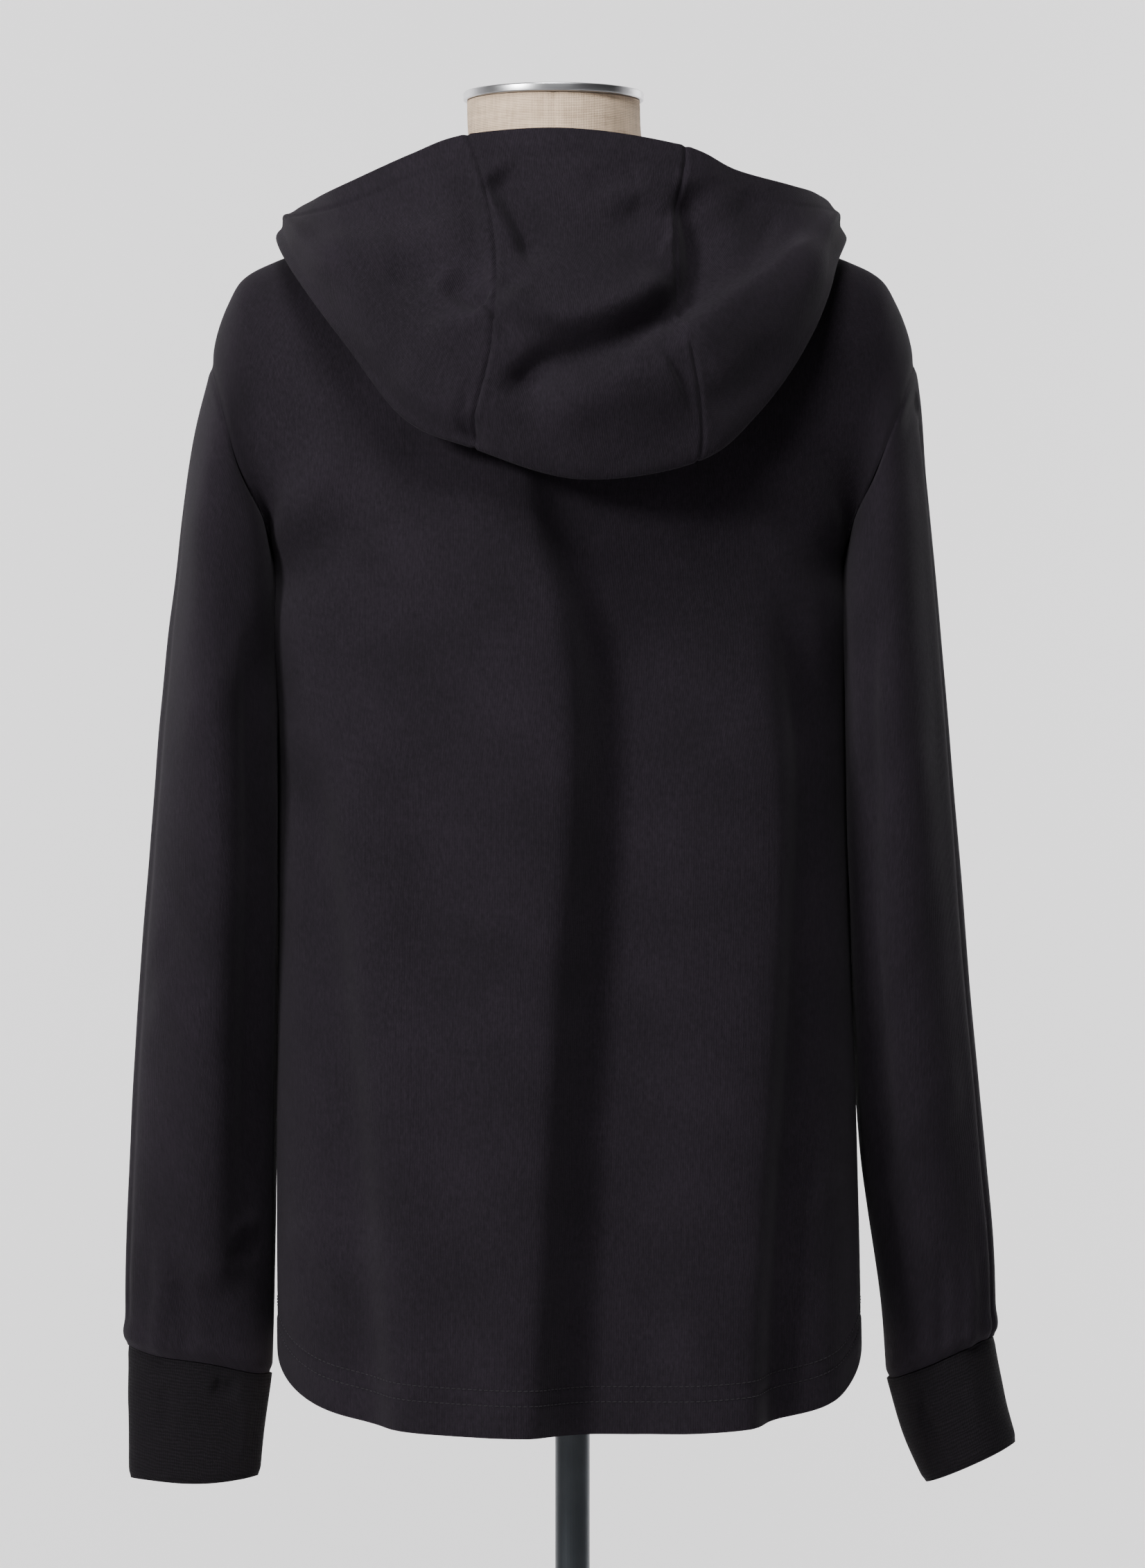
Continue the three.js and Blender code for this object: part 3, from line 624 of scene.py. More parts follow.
def neckline(angle: Array) -> Array:
    """The neckline: angle 0 is the middle of the back and pi the middle of the front.

    P = (62 sin a, way depth |cos a|, 1432 - drop |cos a|^1.5)

    Args:
        angle: turn in radians, negative on the wearer's left.
    Returns:
        Points of angle's shape by 3, in millimetres.
    """
    behind = np.abs(angle) <= np.pi / 2
    facing = np.abs(np.cos(angle))
    depth = np.where(behind, -BACK_CUT.neck_depth, FRONT_CUT.neck_depth)
    drop = np.where(behind, BACK_CUT.neck_drop, FRONT_CUT.neck_drop)
    return np.stack([NECK_REACH * np.sin(angle), depth * facing, NECK_SIDE_Z - drop * facing**1.5], -1)


@dataclass
class BodyPanel:
    """A back or front panel, drawn up from horizontal sections to the neck and the shoulders.

    start and end are shares from side seam (-1) to side seam (1). The two fronts part down their
    middle by parting_top and parting_hem. The rest are heights and widths of the relief.
    """

    cut: PanelCut
    creases: Sequence[Crease]
    columns: int
    rows: int
    start: float = -1.0
    end: float = 1.0
    parting_top: float = 0.0
    parting_hem: float = 0.0
    hem_rows: tuple[float, ...] = (18.0, 26.5)
    row_dent: float = 0.5
    row_width: float = 1.8
    hem_lift: float = 0.35
    wave: float = 0.45
    half_girth: float = 210.0
    seam_roll: float = 1.1
    seam_width: float = 3.2

    def top_line(self, across: Array) -> Array:
        """The panel's top: the neckline to a share of 0.3, then the shoulder out to the armhole."""
        share, side = np.abs(across), np.where(across < 0, -1.0, 1.0)
        turn = clamp01(share / NECK_SHARE) * np.pi / 2
        neck = neckline(side * (turn if self.cut.way < 0 else np.pi - turn))
        row = Table(SHOULDER_LINE).at(share)
        shoulder = np.stack([side * row["reach"], np.zeros_like(share), row["z"]], -1)
        return np.where((share < NECK_SHARE)[..., None], neck, shoulder)

    def section(self, across: Array, z: Array, share: Array) -> Array:
        """A point of the body's horizontal section.

        With a = |across|, turn = a pi / 2 and p = 0.84: reach = half sin^p, and out = e + (depth - e)
        cos^p with e = 62 sin(T) a^2, so that the armhole's edge keeps its own depth. T runs up the
        armhole from 0 to pi, and away from the edge e starts with a soft step.

        Args:
            across: -1 to 1 between the side seams.
            z: height in millimetres.
            share: how far up the armhole, 0 to 1.
        Returns:
            Points in millimetres.
        """
        row = Table(BODY_SECTIONS).at(z)
        depth = row["back"] if self.cut.way < 0 else row["front"]
        turn = np.abs(across) * np.pi / 2
        rising = np.arccos(1 - 2 * clamp01(share))
        eased = lerp(1.0, smooth(0, 1.3, rising), clamp01((1 - np.abs(across)) * 5))
        edge = ARM_DEPTH * np.sin(rising) * np.abs(across) ** EDGE_POWER * eased
        out = edge + (depth - edge) * np.abs(np.cos(turn)) ** SECTION_POWER
        reach = np.sign(across) * row["half"] * np.sin(turn) ** SECTION_POWER
        return np.stack([reach, self.cut.way * out, z], -1)

    def hem(self, across: Array) -> Array:
        """Height of the hem: 779 - drop (1 - |across|^power)."""
        return SIDE_Z - self.cut.hem_drop * (1 - np.abs(across) ** self.cut.hem_power)

    @staticmethod
    def raised(up: Array) -> Array:
        """How far each row is drawn to the top line: 0 to the underarm, then (1 - cos) / 2."""
        return (1 - np.cos(np.pi * clamp01((up - HEM_SHARE) / (1 - HEM_SHARE)))) / 2

    def surface(self, across: Array, up: Array) -> Array:
        """The worn panel before its creases: sections drawn up to the top line.

        The draw towards the top line grows with raised in x and z, and in y with
        1 - (1 - raised^2)^0.6, which turns the panel over the shoulder.

        Args:
            across: -1 to 1 between the side seams.
            up: 0 at the hem to 1 at the top.
        Returns:
            Points in millimetres.
        """
        raised = self.raised(up)
        low = lerp(self.hem(across), UNDERARM_Z, clamp01(up / HEM_SHARE))
        points = self.section(across, low + (ARM_TOP_Z - UNDERARM_Z) * raised, raised)
        flat_top = self.section(across, np.full_like(across, ARM_TOP_Z), np.ones_like(across))
        turned = 1 - (1 - raised**2) ** SHOULDER_ROUNDNESS
        points = points + (self.top_line(across) - flat_top) * np.stack([raised, turned, raised], -1)
        points[..., 1] += self.cut.way * 0.15
        return points

    def relief(self, across: Array, up: Array, points: Array) -> Array:
        """Height of the creases, the rolled seams and the hem's sewn rows over the plain panel."""
        raised = self.raised(up)
        x, z = points[..., 0], points[..., 2]
        inside = 1 - smooth(0.86, 1, np.abs(across))
        height = crease_height(self.creases, x, z) * inside * (1 - raised**2)
        height += self.wave * ripple(x, z * 0.6, 5 + self.cut.way, 14, 34, 90) * inside * (1 - raised)
        to_seam = (1 - np.abs(across)) * self.half_girth
        above_hem = z - self.hem(across)
        for row in self.hem_rows:
            height -= self.row_dent * bell(above_hem - row, self.row_width)
        height += self.hem_lift * (1 - smooth(self.hem_rows[0] - 3, self.hem_rows[0], above_hem))
        roll = self.seam_roll - 0.9 * bell(z - UNDERARM_Z, 26)
        return height - roll * bell(to_seam, self.seam_width)

    def grid(self) -> ClothGrid:
        """The finished panel; its u runs so that U x V faces out."""
        u, v = clustered(self.columns, 0.55), clustered(self.rows, 0.3)
        across, up = np.meshgrid(lerp(self.start, self.end, u), v)
        plain = self.surface(across, up)
        points = plain + grid_normals(plain, False) * self.relief(across, up, plain)[..., None]
        side = math.copysign(1, self.start + self.end)
        parting = lerp(self.parting_hem, self.parting_top, up) / 2
        points[..., 0] += side * parting * (1 - np.abs(across)) ** 3 + lean(points[..., 2])
        return ClothGrid(points, u, v)

    def hem_path(self, grid: ClothGrid, above: float) -> tuple[Array, Array]:
        """Points and normals along the panel at a height above its hem."""
        u = np.linspace(0.004, 0.996, 700)
        hem = self.hem(lerp(self.start, self.end, u))
        return grid.at(u, HEM_SHARE * above / (UNDERARM_Z - hem))


# ---- Sleeves and cuffs ----------------------------------------------------------------------------

LEFT_SLEEVE_CREASES = rows_of(
    Crease,
    (((104, 800), (98, 900), (90, 1060), (78, 1180), (56, 1300)), 6, 26, 14, 0.06, 0.12, 1.7),
    (((128, 1150), (127, 1200), (124, 1245), (116, 1300)), 3, 20, 16, 0.4, 0.35),
    (((130, 800), (126, 920), (121, 1080), (114, 1210)), -5, 11, 18, 0.35, 0.2),
    (((18, 775), (20, 930), (22, 1110), (24, 1290)), -1.2, 4, 5, 0.05, 0.2),
    (((112, 838), (128, 846), (146, 843)), 1.6, 4, 5, 0.3, 0.3),
    (((110, 824), (126, 830), (142, 826)), -1.5, 4, 4, 0.3, 0.3),
    (((58, 778), (62, 812), (60, 850)), 1.8, 6, 7, 0, 0.5),
    (((84, 778), (80, 806), (84, 838)), -1.6, 6, 6, 0, 0.5),
    (((36, 980), (70, 960), (104, 930)), 2, 14, 16, 0.3, 0.4),
    (((40, 1010), (72, 996), (100, 974)), -1.6, 12, 12, 0.3, 0.4),
    (((50, 1120), (88, 1150), (120, 1190)), 1.8, 14, 14, 0.35, 0.35),
    (((-40, 800), (-46, 930), (-60, 1100), (-80, 1240)), 3.5, 16, 22, 0.1, 0.3),
    (((-96, 820), (-100, 960), (-104, 1120)), -3.5, 14, 12, 0.15, 0.3),
    (((-120, 1150), (-86, 1110), (-50, 1090)), 2, 12, 14, 0.3, 0.4),
    (((-70, 776), (-66, 806), (-70, 836)), 1.6, 6, 6, 0, 0.5),
)
RIGHT_SLEEVE_CREASES = rows_of(
    Crease,
    (((25, 770), (24, 900), (23, 1080), (22, 1230), (20, 1318)), -2.2, 3.5, 5, 0.03, 0.08, 1.7),
    (((33, 770), (33, 900), (32, 1080), (31, 1230), (30, 1310)), 1.4, 4, 9, 0.03, 0.1),
    (((96, 830), (92, 960), (86, 1110), (78, 1250)), 3.2, 24, 16, 0.2, 0.3),
    (((128, 1150), (127, 1200), (124, 1245), (116, 1300)), 3, 20, 16, 0.4, 0.35),
    (((130, 830), (124, 960), (116, 1120), (112, 1220)), -3.6, 10, 12, 0.2, 0.3),
    (((20, 1316), (44, 1306), (66, 1290)), -1.8, 6, 5, 0.1, 0.6),
    (((62, 778), (58, 810), (64, 850)), 1.8, 7, 6, 0, 0.5),
    (((92, 776), (90, 804), (86, 834)), -1.6, 6, 6, 0, 0.5),
    (((44, 940), (80, 912), (112, 876)), 2, 14, 14, 0.3, 0.4),
    (((56, 1090), (90, 1122), (118, 1166)), 1.6, 14, 14, 0.35, 0.35),
    (((-44, 800), (-52, 950), (-64, 1120), (-84, 1250)), 3.4, 18, 20, 0.1, 0.3),
    (((-98, 830), (-104, 980), (-108, 1140)), -3.4, 12, 14, 0.15, 0.3),
    (((-112, 1130), (-80, 1096), (-46, 1080)), 1.8, 12, 14, 0.3, 0.4),
    (((-66, 776), (-70, 806), (-64, 838)), 1.6, 6, 6, 0, 0.5),
)


def body_reach(y: Array, z: Array) -> Array:
    """Reach of the body's side at depth y and height z: half (1 - (|y| / depth)^q)^(1 / q), q = 2 / p."""
    row = Table(BODY_SECTIONS).at(z)
    depth = np.where(y < 0, row["back"], row["front"])
    power = 2 / SECTION_POWER
    return row["half"] * (1 - clamp01(np.abs(y) / depth) ** power) ** (1 / power)


@dataclass
class ArmTube:
    """A sleeve or cuff: a tube through rings whose inner side lies against the body.

    Its ends roll in by seam_roll and foot_roll, puff swells it above its foot, pinch narrows it
    below its top seam, and foot_dip lets its foot hang lower at one side.
    """

    rings: Sequence[SleeveRing]
    side: Side
    drop: float
    creases: Sequence[Crease]
    columns: int
    rows: int
    clearance: float = 1.5
    softness: float = 1.2
    seam_roll: float = 1.0
    foot_roll: float = 1.0
    puff: float = 0.0
    pinch: float = 0.0
    foot_dip: float = 0.0
    wave: float = 0.3
    seam_width: float = 3.0
    seam_wander: float = 1.3

    def surface(self, around: Array, down: Array) -> Array:
        """The tube before its creases.

        With a = 2 pi (around + 1/2) and c = (1 + cos a) / 2: x and z go from the ring's inner point
        to its outer one with c, and y = mid - side half sin a. Beside the body x is softly held clear
        of the body's side: soft max(x, reach + 1.5).

        Args:
            around: 0 to 1 from the inner line round by the front or back to it again.
            down: 0 at the top to 1 at the foot.
        Returns:
            Points in millimetres, before the lean.
        """
        row = Table(self.rings).at(down * (len(self.rings) - 1))
        turn = 2 * np.pi * (around + 0.5)
        share = (1 + np.cos(turn)) / 2
        reach = lerp(row["inner_x"], row["outer_x"], share)
        z = lerp(row["inner_z"], row["outer_z"], share)
        y = row["mid_y"] - self.side.value * row["half_y"] * np.sin(turn)
        limit = body_reach(y, z) + self.clearance
        clear = limit + self.softness * np.logaddexp(0, (reach - limit) / self.softness)
        beside = 1 - smooth(UNDERARM_Z - 14, UNDERARM_Z, z)
        return np.stack([self.side.value * (lerp(reach, clear, beside) + 0.1), y, z - self.drop], -1)

    def relief(self, around: Array, down: Array, points: Array) -> Array:
        """Creases by (degrees from the outer line towards the back, height), and rolled ends."""
        degrees = 360 * (around - 0.5) * self.side.value
        z = points[..., 2]
        loose = smooth(180, 150, np.abs(degrees))
        height = crease_height(self.creases, degrees, z) * loose
        height += self.wave * ripple(degrees, z * 0.6, 11 + self.side.value, 12, 26, 70) * loose
        run = run_along(points, 0)
        inner = smooth(90, 170, np.abs(degrees))
        height -= self.seam_roll * (1 - 0.85 * inner) * bell(run, self.seam_width)
        height -= self.pinch * (1 - smooth(4, 34, run)) * loose
        to_foot = run[-1:] - run
        height += self.puff * bell(to_foot - 8, 6) * loose
        return height - self.foot_roll * bell(to_foot, self.seam_width)

    def drop_of(self, around: Array, down: Array) -> Array:
        """How far the rows sink along the uneven cuff seam and at the cuff's foot."""
        degrees = 360 * (around - 0.5) * self.side.value
        loose = smooth(180, 140, np.abs(degrees))
        wave = self.seam_wander * ripple(degrees, degrees * 0, 31 + self.side.value, 7, 45, 130) * loose
        near_seam = 1 - smooth(0, 0.4, down) if self.pinch else smooth(0.9, 1, down)
        dip = self.foot_dip * bell(degrees - 96, 46) * smooth(0.4, 1, down)
        return wave * near_seam + dip * loose

    def grid(self) -> ClothGrid:
        """The finished tube."""
        u = np.arange(self.columns) / self.columns
        v = clustered(self.rows, 0.45)
        around, down = np.meshgrid(u, v)
        plain = self.surface(around, down)
        points = plain + grid_normals(plain, True) * self.relief(around, down, plain)[..., None]
        points[..., 0] += lean(points[..., 2])
        points[..., 2] -= self.drop_of(around, down)
        return ClothGrid(points, np.append(u, 1.0), v, wraps=True)


LEFT_CUFF_CREASES = rows_of(
    Crease,
    (((102, 753), (114, 748), (128, 750)), -2.6, 4.5, 5, 0.3, 0.3),
    (((64, 752), (66, 736), (62, 716)), -0.8, 5, 5, 0.1, 0.5),
    (((140, 744), (136, 724), (140, 706)), 1.2, 7, 7, 0.3, 0.3),
)
RIGHT_CUFF_CREASES = rows_of(
    Crease,
    (((128, 738), (118, 728), (112, 716)), -1.6, 5, 6, 0.1, 0.5),
    (((70, 752), (66, 738), (70, 722)), 0.9, 6, 6, 0.1, 0.5),
)


# ---- The hood -------------------------------------------------------------------------------------

HOOD_CREASES = rows_of(
    Crease,
    (((-36, 1370), (-21, 1357), (-1, 1352), (19, 1355), (39, 1363), (53, 1372), (64, 1381)),
     8.5, 15, 5, 0.12, 0.25, 1.4),
    (((-29, 1304), (-19, 1321), (-4, 1332), (21, 1341), (47, 1353), (65, 1366), (76, 1385),
     (77, 1404), (73, 1422), (69, 1438)), -11, 8, 13, 0.1, 0.12),
    (((33, 1328), (47, 1342), (63, 1357)), 2.2, 3, 5, 0.3, 0.2),
    (((-16, 1306), (15, 1312), (47, 1319), (63, 1326)), 4.5, 12, 16, 0.3, 0.1),
    (((85, 1436), (93, 1406), (95, 1380)), 2.5, 14, 10, 0.3, 0.4),
    (((100, 1434), (112, 1416), (124, 1408)), -2.5, 12, 12, 0.3, 0.3),
    (((66, 1346), (88, 1361), (111, 1375), (131, 1391), (151, 1408)), 8, 7, 20, 0.08, 0.25, 1.5),
    (((-155, 1390), (-126, 1395), (-92, 1398), (-61, 1406), (-44, 1415)), 4.5, 13, 13, 0.25, 0.2),
    (((-78, 1352), (-61, 1352), (-49, 1354), (-40, 1360)), 4.5, 4, 10, 0.35, 0.1, 1.5),
    (((-66, 1381), (-54, 1369), (-43, 1362)), -6.5, 8, 4.5, 0.3, 0.12),
    (((-100, 1382), (-82, 1381), (-70, 1373)), -3.6, 8, 6, 0.35, 0.3),
    (((-54, 1442), (-51, 1415), (-47, 1390), (-44, 1372)), -2.6, 3, 9, 0.25, 0.2),
    (((-46, 1446), (-37, 1425), (-29, 1405), (-26, 1394)), 2.0, 5, 5, 0.2, 0.3),
    (((-41, 1440), (-31, 1426), (-23, 1411), (-18, 1398), (-12, 1382)), -7.5, 12, 5, 0.12, 0.3),
    (((10, 1433), (32, 1438), (50, 1441)), -1.8, 7, 6, 0.3, 0.3),
    (((30, 1424), (46, 1411), (62, 1402)), -3.2, 7, 9, 0.3, 0.15),
    (((38, 1424), (50, 1419), (64, 1414)), -2.2, 4, 5, 0.3, 0.2),
    (((-10, 1390), (16, 1384), (44, 1390)), 2.4, 13, 14, 0.3, 0.3),
    (((-132, 1352), (-104, 1318), (-74, 1290), (-52, 1282)), -3, 8, 9, 0.25, 0.15),
    (((-96, 1330), (-72, 1312), (-52, 1306)), 2.4, 12, 10, 0.3, 0.2),
    (((82, 1300), (104, 1322), (124, 1350)), -2.4, 9, 9, 0.2, 0.3),
    (((-54, 1303), (-48, 1286), (-42, 1266)), -6, 5, 4, 0.4, 0.05),
)


@dataclass
class HoodPanel:
    """A panel of the hood thrown back: under layer, rolled fold, outer layer and hemmed rim.

    start and end are shares of the way round, and seams says which of its two edges are sewn.
    """

    start: float
    end: float
    columns: int
    rows: int
    seams: tuple[bool, bool]
    rim_row: float = 16.0
    rim_depth: float = 0.5
    rim_width: float = 1.5
    wave: float = 0.6
    seam_roll: float = 1.1
    seam_width: float = 1.3
    seam_ridge: float = 0.25

    @staticmethod
    def neck(around: Array) -> Array:
        """The hood's neck seam, a seam's gap above the body's neckline."""
        side_share = np.abs(around) / HOOD_SIDE
        front_share = (np.abs(around) - HOOD_SIDE) / (1 - HOOD_SIDE)
        angle = np.where(side_share < 1, side_share, 1 + front_share * 0.97) * np.pi / 2
        return neckline(np.sign(around) * angle) + np.array([0.0, 0.0, 2.1])

    @staticmethod
    def knots(around: Array) -> Array:
        """The nine points of the hood's curve at each station, from the neck seam to the rim.

        The layers belly out from the straight lines between them along a direction square to the
        way the fold hangs, by lengths that grow with its distance from the mouth.

        Args:
            around: shares of the way round, -1 to 1, one for each column.
        Returns:
            Points, nine by columns by 3.
        """
        row = Table(HOOD_STATIONS).at(around)
        neck = HoodPanel.neck(around)
        fold = np.stack([row["fold_x"], row["fold_y"], row["fold_z"]], -1)
        rim = np.stack([row["rim_x"], row["rim_y"], row["rim_z"]], -1)
        roll, belly = row["roll"][:, None], row["belly"][:, None]
        waist = row["waist"][:, None] * np.array([1.0, 0.0, 0.0])
        mouth = (neck + rim) / 2
        tip = unit(fold - mouth)
        level = unit(tip * np.array([1.0, 1.0, 0.0]))
        outward = level * -tip[:, 2:]
        outward[:, 2] = (tip * level).sum(-1)
        under, over = fold - tip * roll - outward * roll, fold - tip * roll + outward * roll
        lift = clamp01(np.linalg.norm(fold - mouth, axis=-1, keepdims=True) / 90)
        return np.stack([
            neck, lerp(neck, under, 0.2) + outward * 14 * lift, lerp(neck, under, 0.5) + outward * 21 * lift,
            under, fold, over, lerp(over, rim, 0.25) + outward * belly + waist,
            lerp(over, rim, 0.62) + outward * belly * 0.42 + waist, rim,
        ])

    @staticmethod
    def surface(around: Array, along: Array) -> Array:
        """Centripetal Catmull-Rom curves through the knots of each column.

        Args:
            around: one share for each column.
            along: 0 at the neck seam to 1 at the rim, one for each row.
        Returns:
            Points, rows by columns by 3, before the lean.
        """
        knots = HoodPanel.knots(around)
        knots = np.concatenate([2 * knots[:1] - knots[1:2], knots, 2 * knots[-1:] - knots[-2:-1]])
        gaps = np.sqrt(np.linalg.norm(np.diff(knots, axis=0), axis=-1))[..., None]
        at = along * 8
        i = np.minimum(at.astype(int), 7)
        t = (at - i)[:, None, None]
        a, b, c, d = knots[i], knots[i + 1], knots[i + 2], knots[i + 3]
        e, f, g = gaps[i], gaps[i + 1], gaps[i + 2]
        m = ((b - a) / e - (c - a) / (e + f) + (c - b) / f) * f
        n = ((c - b) / f - (d - b) / (f + g) + (d - c) / g) * f
        return hermite(b, c, m, n, t)

    def relief(self, around: Array, along: Array, points: Array) -> Array:
        """Creases of the outer layer by (x, z), rolled seams, and the rim's sewn hem."""
        outside = smooth(0.47, 0.58, along) * (1 - smooth(0.42, 0.5, np.abs(around)))
        x, z = points[..., 0], points[..., 2]
        to_rim = run_along(points[::-1], 0)[::-1]
        height = crease_height(HOOD_CREASES, x, z) * outside * smooth(0, 14, to_rim)
        height += self.wave * ripple(x, z, 23, 12, 26, 66) * outside * smooth(0, 20, to_rim)
        hem = 1 - smooth(self.rim_row - 4, self.rim_row, to_rim)
        height += self.rim_depth * (hem - bell(to_rim - self.rim_row, self.rim_width))
        across = run_along(points, 1)
        for sewn, edge in zip(self.seams, (across, across[:, -1:] - across)):
            if sewn:
                height -= self.seam_roll * bell(edge, self.seam_width)
                height += self.seam_ridge * bell(edge - 3.2, 1.8) * outside
        return height

    def grid(self) -> ClothGrid:
        """The finished panel."""
        hidden = self.rows // 4
        u = clustered(self.columns, 0.55)
        v = np.append(np.linspace(0, 0.45, hidden + 1)[:-1], np.linspace(0.45, 1, self.rows - hidden + 1))
        around, along = lerp(self.start, self.end, u), v
        plain = self.surface(around, along)
        relief = self.relief(*np.meshgrid(around, along), plain)
        points = plain + grid_normals(plain, False) * relief[..., None]
        points[..., 0] += lean(points[..., 2])
        return ClothGrid(points, u, v)


# ---- The dress form -------------------------------------------------------------------------------

@dataclass(frozen=True)
class FormSection:
    """A ring of the linen form round the leaning middle line."""

    z: float
    half: float
    back: float
    front: float
    pinch: float = 0.0


@dataclass(frozen=True)
class FormShoulder:
    """A ring of the form's shoulder, placed by its share along the garment's shoulder line."""

    across: float
    back: float
    front: float
    pinch: float


FORM_SECTIONS = rows_of(
    FormSection,
    (736, 120, 66, 66), (740, 142, 84, 82), (750, 154, 92, 90),
    (772, 160, 96, 93), (850, 160, 97, 92), (930, 148, 90, 84),
    (1015, 130, 80, 78), (1100, 140, 86, 92), (1170, 152, 92, 102),
    (1228, 156, 95, 102), (1283, 166, 92, 92), (1330, 176, 82, 80),
    (1362, 181, 66, 64),
)
FORM_SHOULDERS = rows_of(
    FormShoulder,
    (0.82, 54, 52, 0.5), (0.72, 52, 50, 1.0), (0.60, 52, 46, 1.4), (0.45, 51, 45, 2.0), (0.37, 50, 45, 2.6),
)


@dataclass
class DressForm:
    """The limbless linen torso with its neck and the socket for the pole, and its steel cap."""

    neck_radius: float = 50.0
    cap_z: float = 1491.0
    cap_radius: float = 52.0
    cap_height: float = 5.0
    socket_radius: float = 10.3
    socket_top: float = 793.0
    columns: int = 160
    below_cloth: float = 2.6
    inside_cloth: float = 5.0
    seam_depth: float = 0.9
    seam_width: float = 1.6

    def rings(self) -> Table:
        """Every ring of the torso from its underside to the top of its neck."""
        rows = list(FORM_SECTIONS)
        for ring in FORM_SHOULDERS:
            line = Table(SHOULDER_LINE).at(ring.across)
            z, half = float(line["z"]) - self.below_cloth, float(line["reach"]) - self.inside_cloth
            rows.append(FormSection(z, half, ring.back, ring.front, ring.pinch))
        for z in (NECK_SIDE_Z - 5, NECK_SIDE_Z + 16, self.cap_z - 0.3):
            rows.append(FormSection(z, *[self.neck_radius] * 3))
        return Table(rows)

    def torso(self) -> bpy.types.Object:
        """The linen torso: rings (half cos a, depth sin a |sin a|^pinch, z), with sewn seams.

        Returns:
            A closed mesh with the pole's socket in its underside.
        """
        table = self.rings()
        keys = table.values[:, 0]
        z = np.concatenate([np.linspace(a, b, max(2, int((b - a) / 4)), endpoint=False)
                            for a, b in zip(keys[:-1], keys[1:])] + [keys[-1:]])
        turn, height = np.meshgrid(2 * np.pi * np.arange(self.columns) / self.columns, z)
        straight = {name: np.interp(height, keys, table.values[:, i]) for i, name in enumerate(table.names)}
        depth = np.where(np.sin(turn) < 0, straight["back"], straight["front"])
        y = depth * np.sin(turn) * np.abs(np.sin(turn)) ** straight["pinch"]
        points = np.stack([straight["half"] * np.cos(turn), y, height], -1)
        points = points - grid_normals(points, True) * self.seams(points)[..., None]
        points[..., 0] += lean(points[..., 2])
        return self.closed_torso(points)

    def seams(self, points: Array) -> Array:
        """Depth of the sewn seams: the side seams, the back's princess seams and the neck's own."""
        x, y, z = points[..., 0], points[..., 1], points[..., 2]
        depth = self.seam_depth * bell(y, self.seam_width) * (np.abs(x) > 20)
        body = 1 - smooth(1380, 1400, z)
        for middle, spread in ((-92, 10), (92, 12)):
            path = middle + spread * np.sin((z - 740) / 130)
            depth = depth + self.seam_depth * bell(x - path, self.seam_width) * (y < 0) * body
        return depth + 0.8 * bell(x, 1.4) * (y < 0) + 0.7 * bell(z - NECK_SIDE_Z - 18, 1.5)

    def circle(self) -> Array:
        """A level ring of radius 1, counted like the torso's own rings."""
        turn = 2 * np.pi * np.arange(self.columns) / self.columns
        return np.stack([np.cos(turn), np.sin(turn), np.zeros_like(turn)], -1)

    def closed_torso(self, points: Array) -> bpy.types.Object:
        """Closes the torso's rings with its top and the socket in its underside."""
        socket = self.circle() * self.socket_radius
        foot = [socket + [0, 0, self.socket_top]] + [socket + [0, 0, h] for h in (760, 737, 736)]
        foot += [lerp(socket + [0, 0, 736], points[0], s) for s in (0.02, 0.3, 0.6, 0.9)]
        foot[-4:] = [ring * [1, 1, 0] + [0, 0, 736] for ring in foot[-4:]]
        top = points[-1] * [1, 1, 0] + [0, 0, points[-1, 0, 2]]
        middle = top.mean(axis=0)
        lid = [lerp(top, middle, s) for s in (0.04, 0.5, 0.97)]
        rings = np.stack(foot + list(points) + lid)
        return closed_rings("linen_torso", rings)

    def cap(self) -> bpy.types.Object:
        """The steel neck cap: a shallow dish with a rounded rim, turned on the lathe."""
        r, h = self.cap_radius, self.cap_height
        corner = np.linspace(0, np.pi / 2, 7)
        outer = [(r - 1 + math.sin(a), 1 - math.cos(a)) for a in corner]
        upper = [(r - 1 + math.cos(a), h - 1 + math.sin(a)) for a in corner]
        inner = [(r - 4 - 0.7 * math.sin(a), h - 0.7 + 0.7 * math.cos(a)) for a in corner]
        dish = [(r - 6.5, h - 1.3), (r - 9, h - 1.5), (r * 0.5, h - 1.5), (1.2, h - 1.5)]
        radius, height = np.array([(1.2, 0), (r * 0.5, 0)] + outer + upper + inner + dish).T
        points = radius[:, None, None] * self.circle() + height[:, None, None] * [0, 0, 1]
        return closed_rings("steel_cap", points + [lean(self.cap_z), 0, self.cap_z])


# ---- Finishes -------------------------------------------------------------------------------------

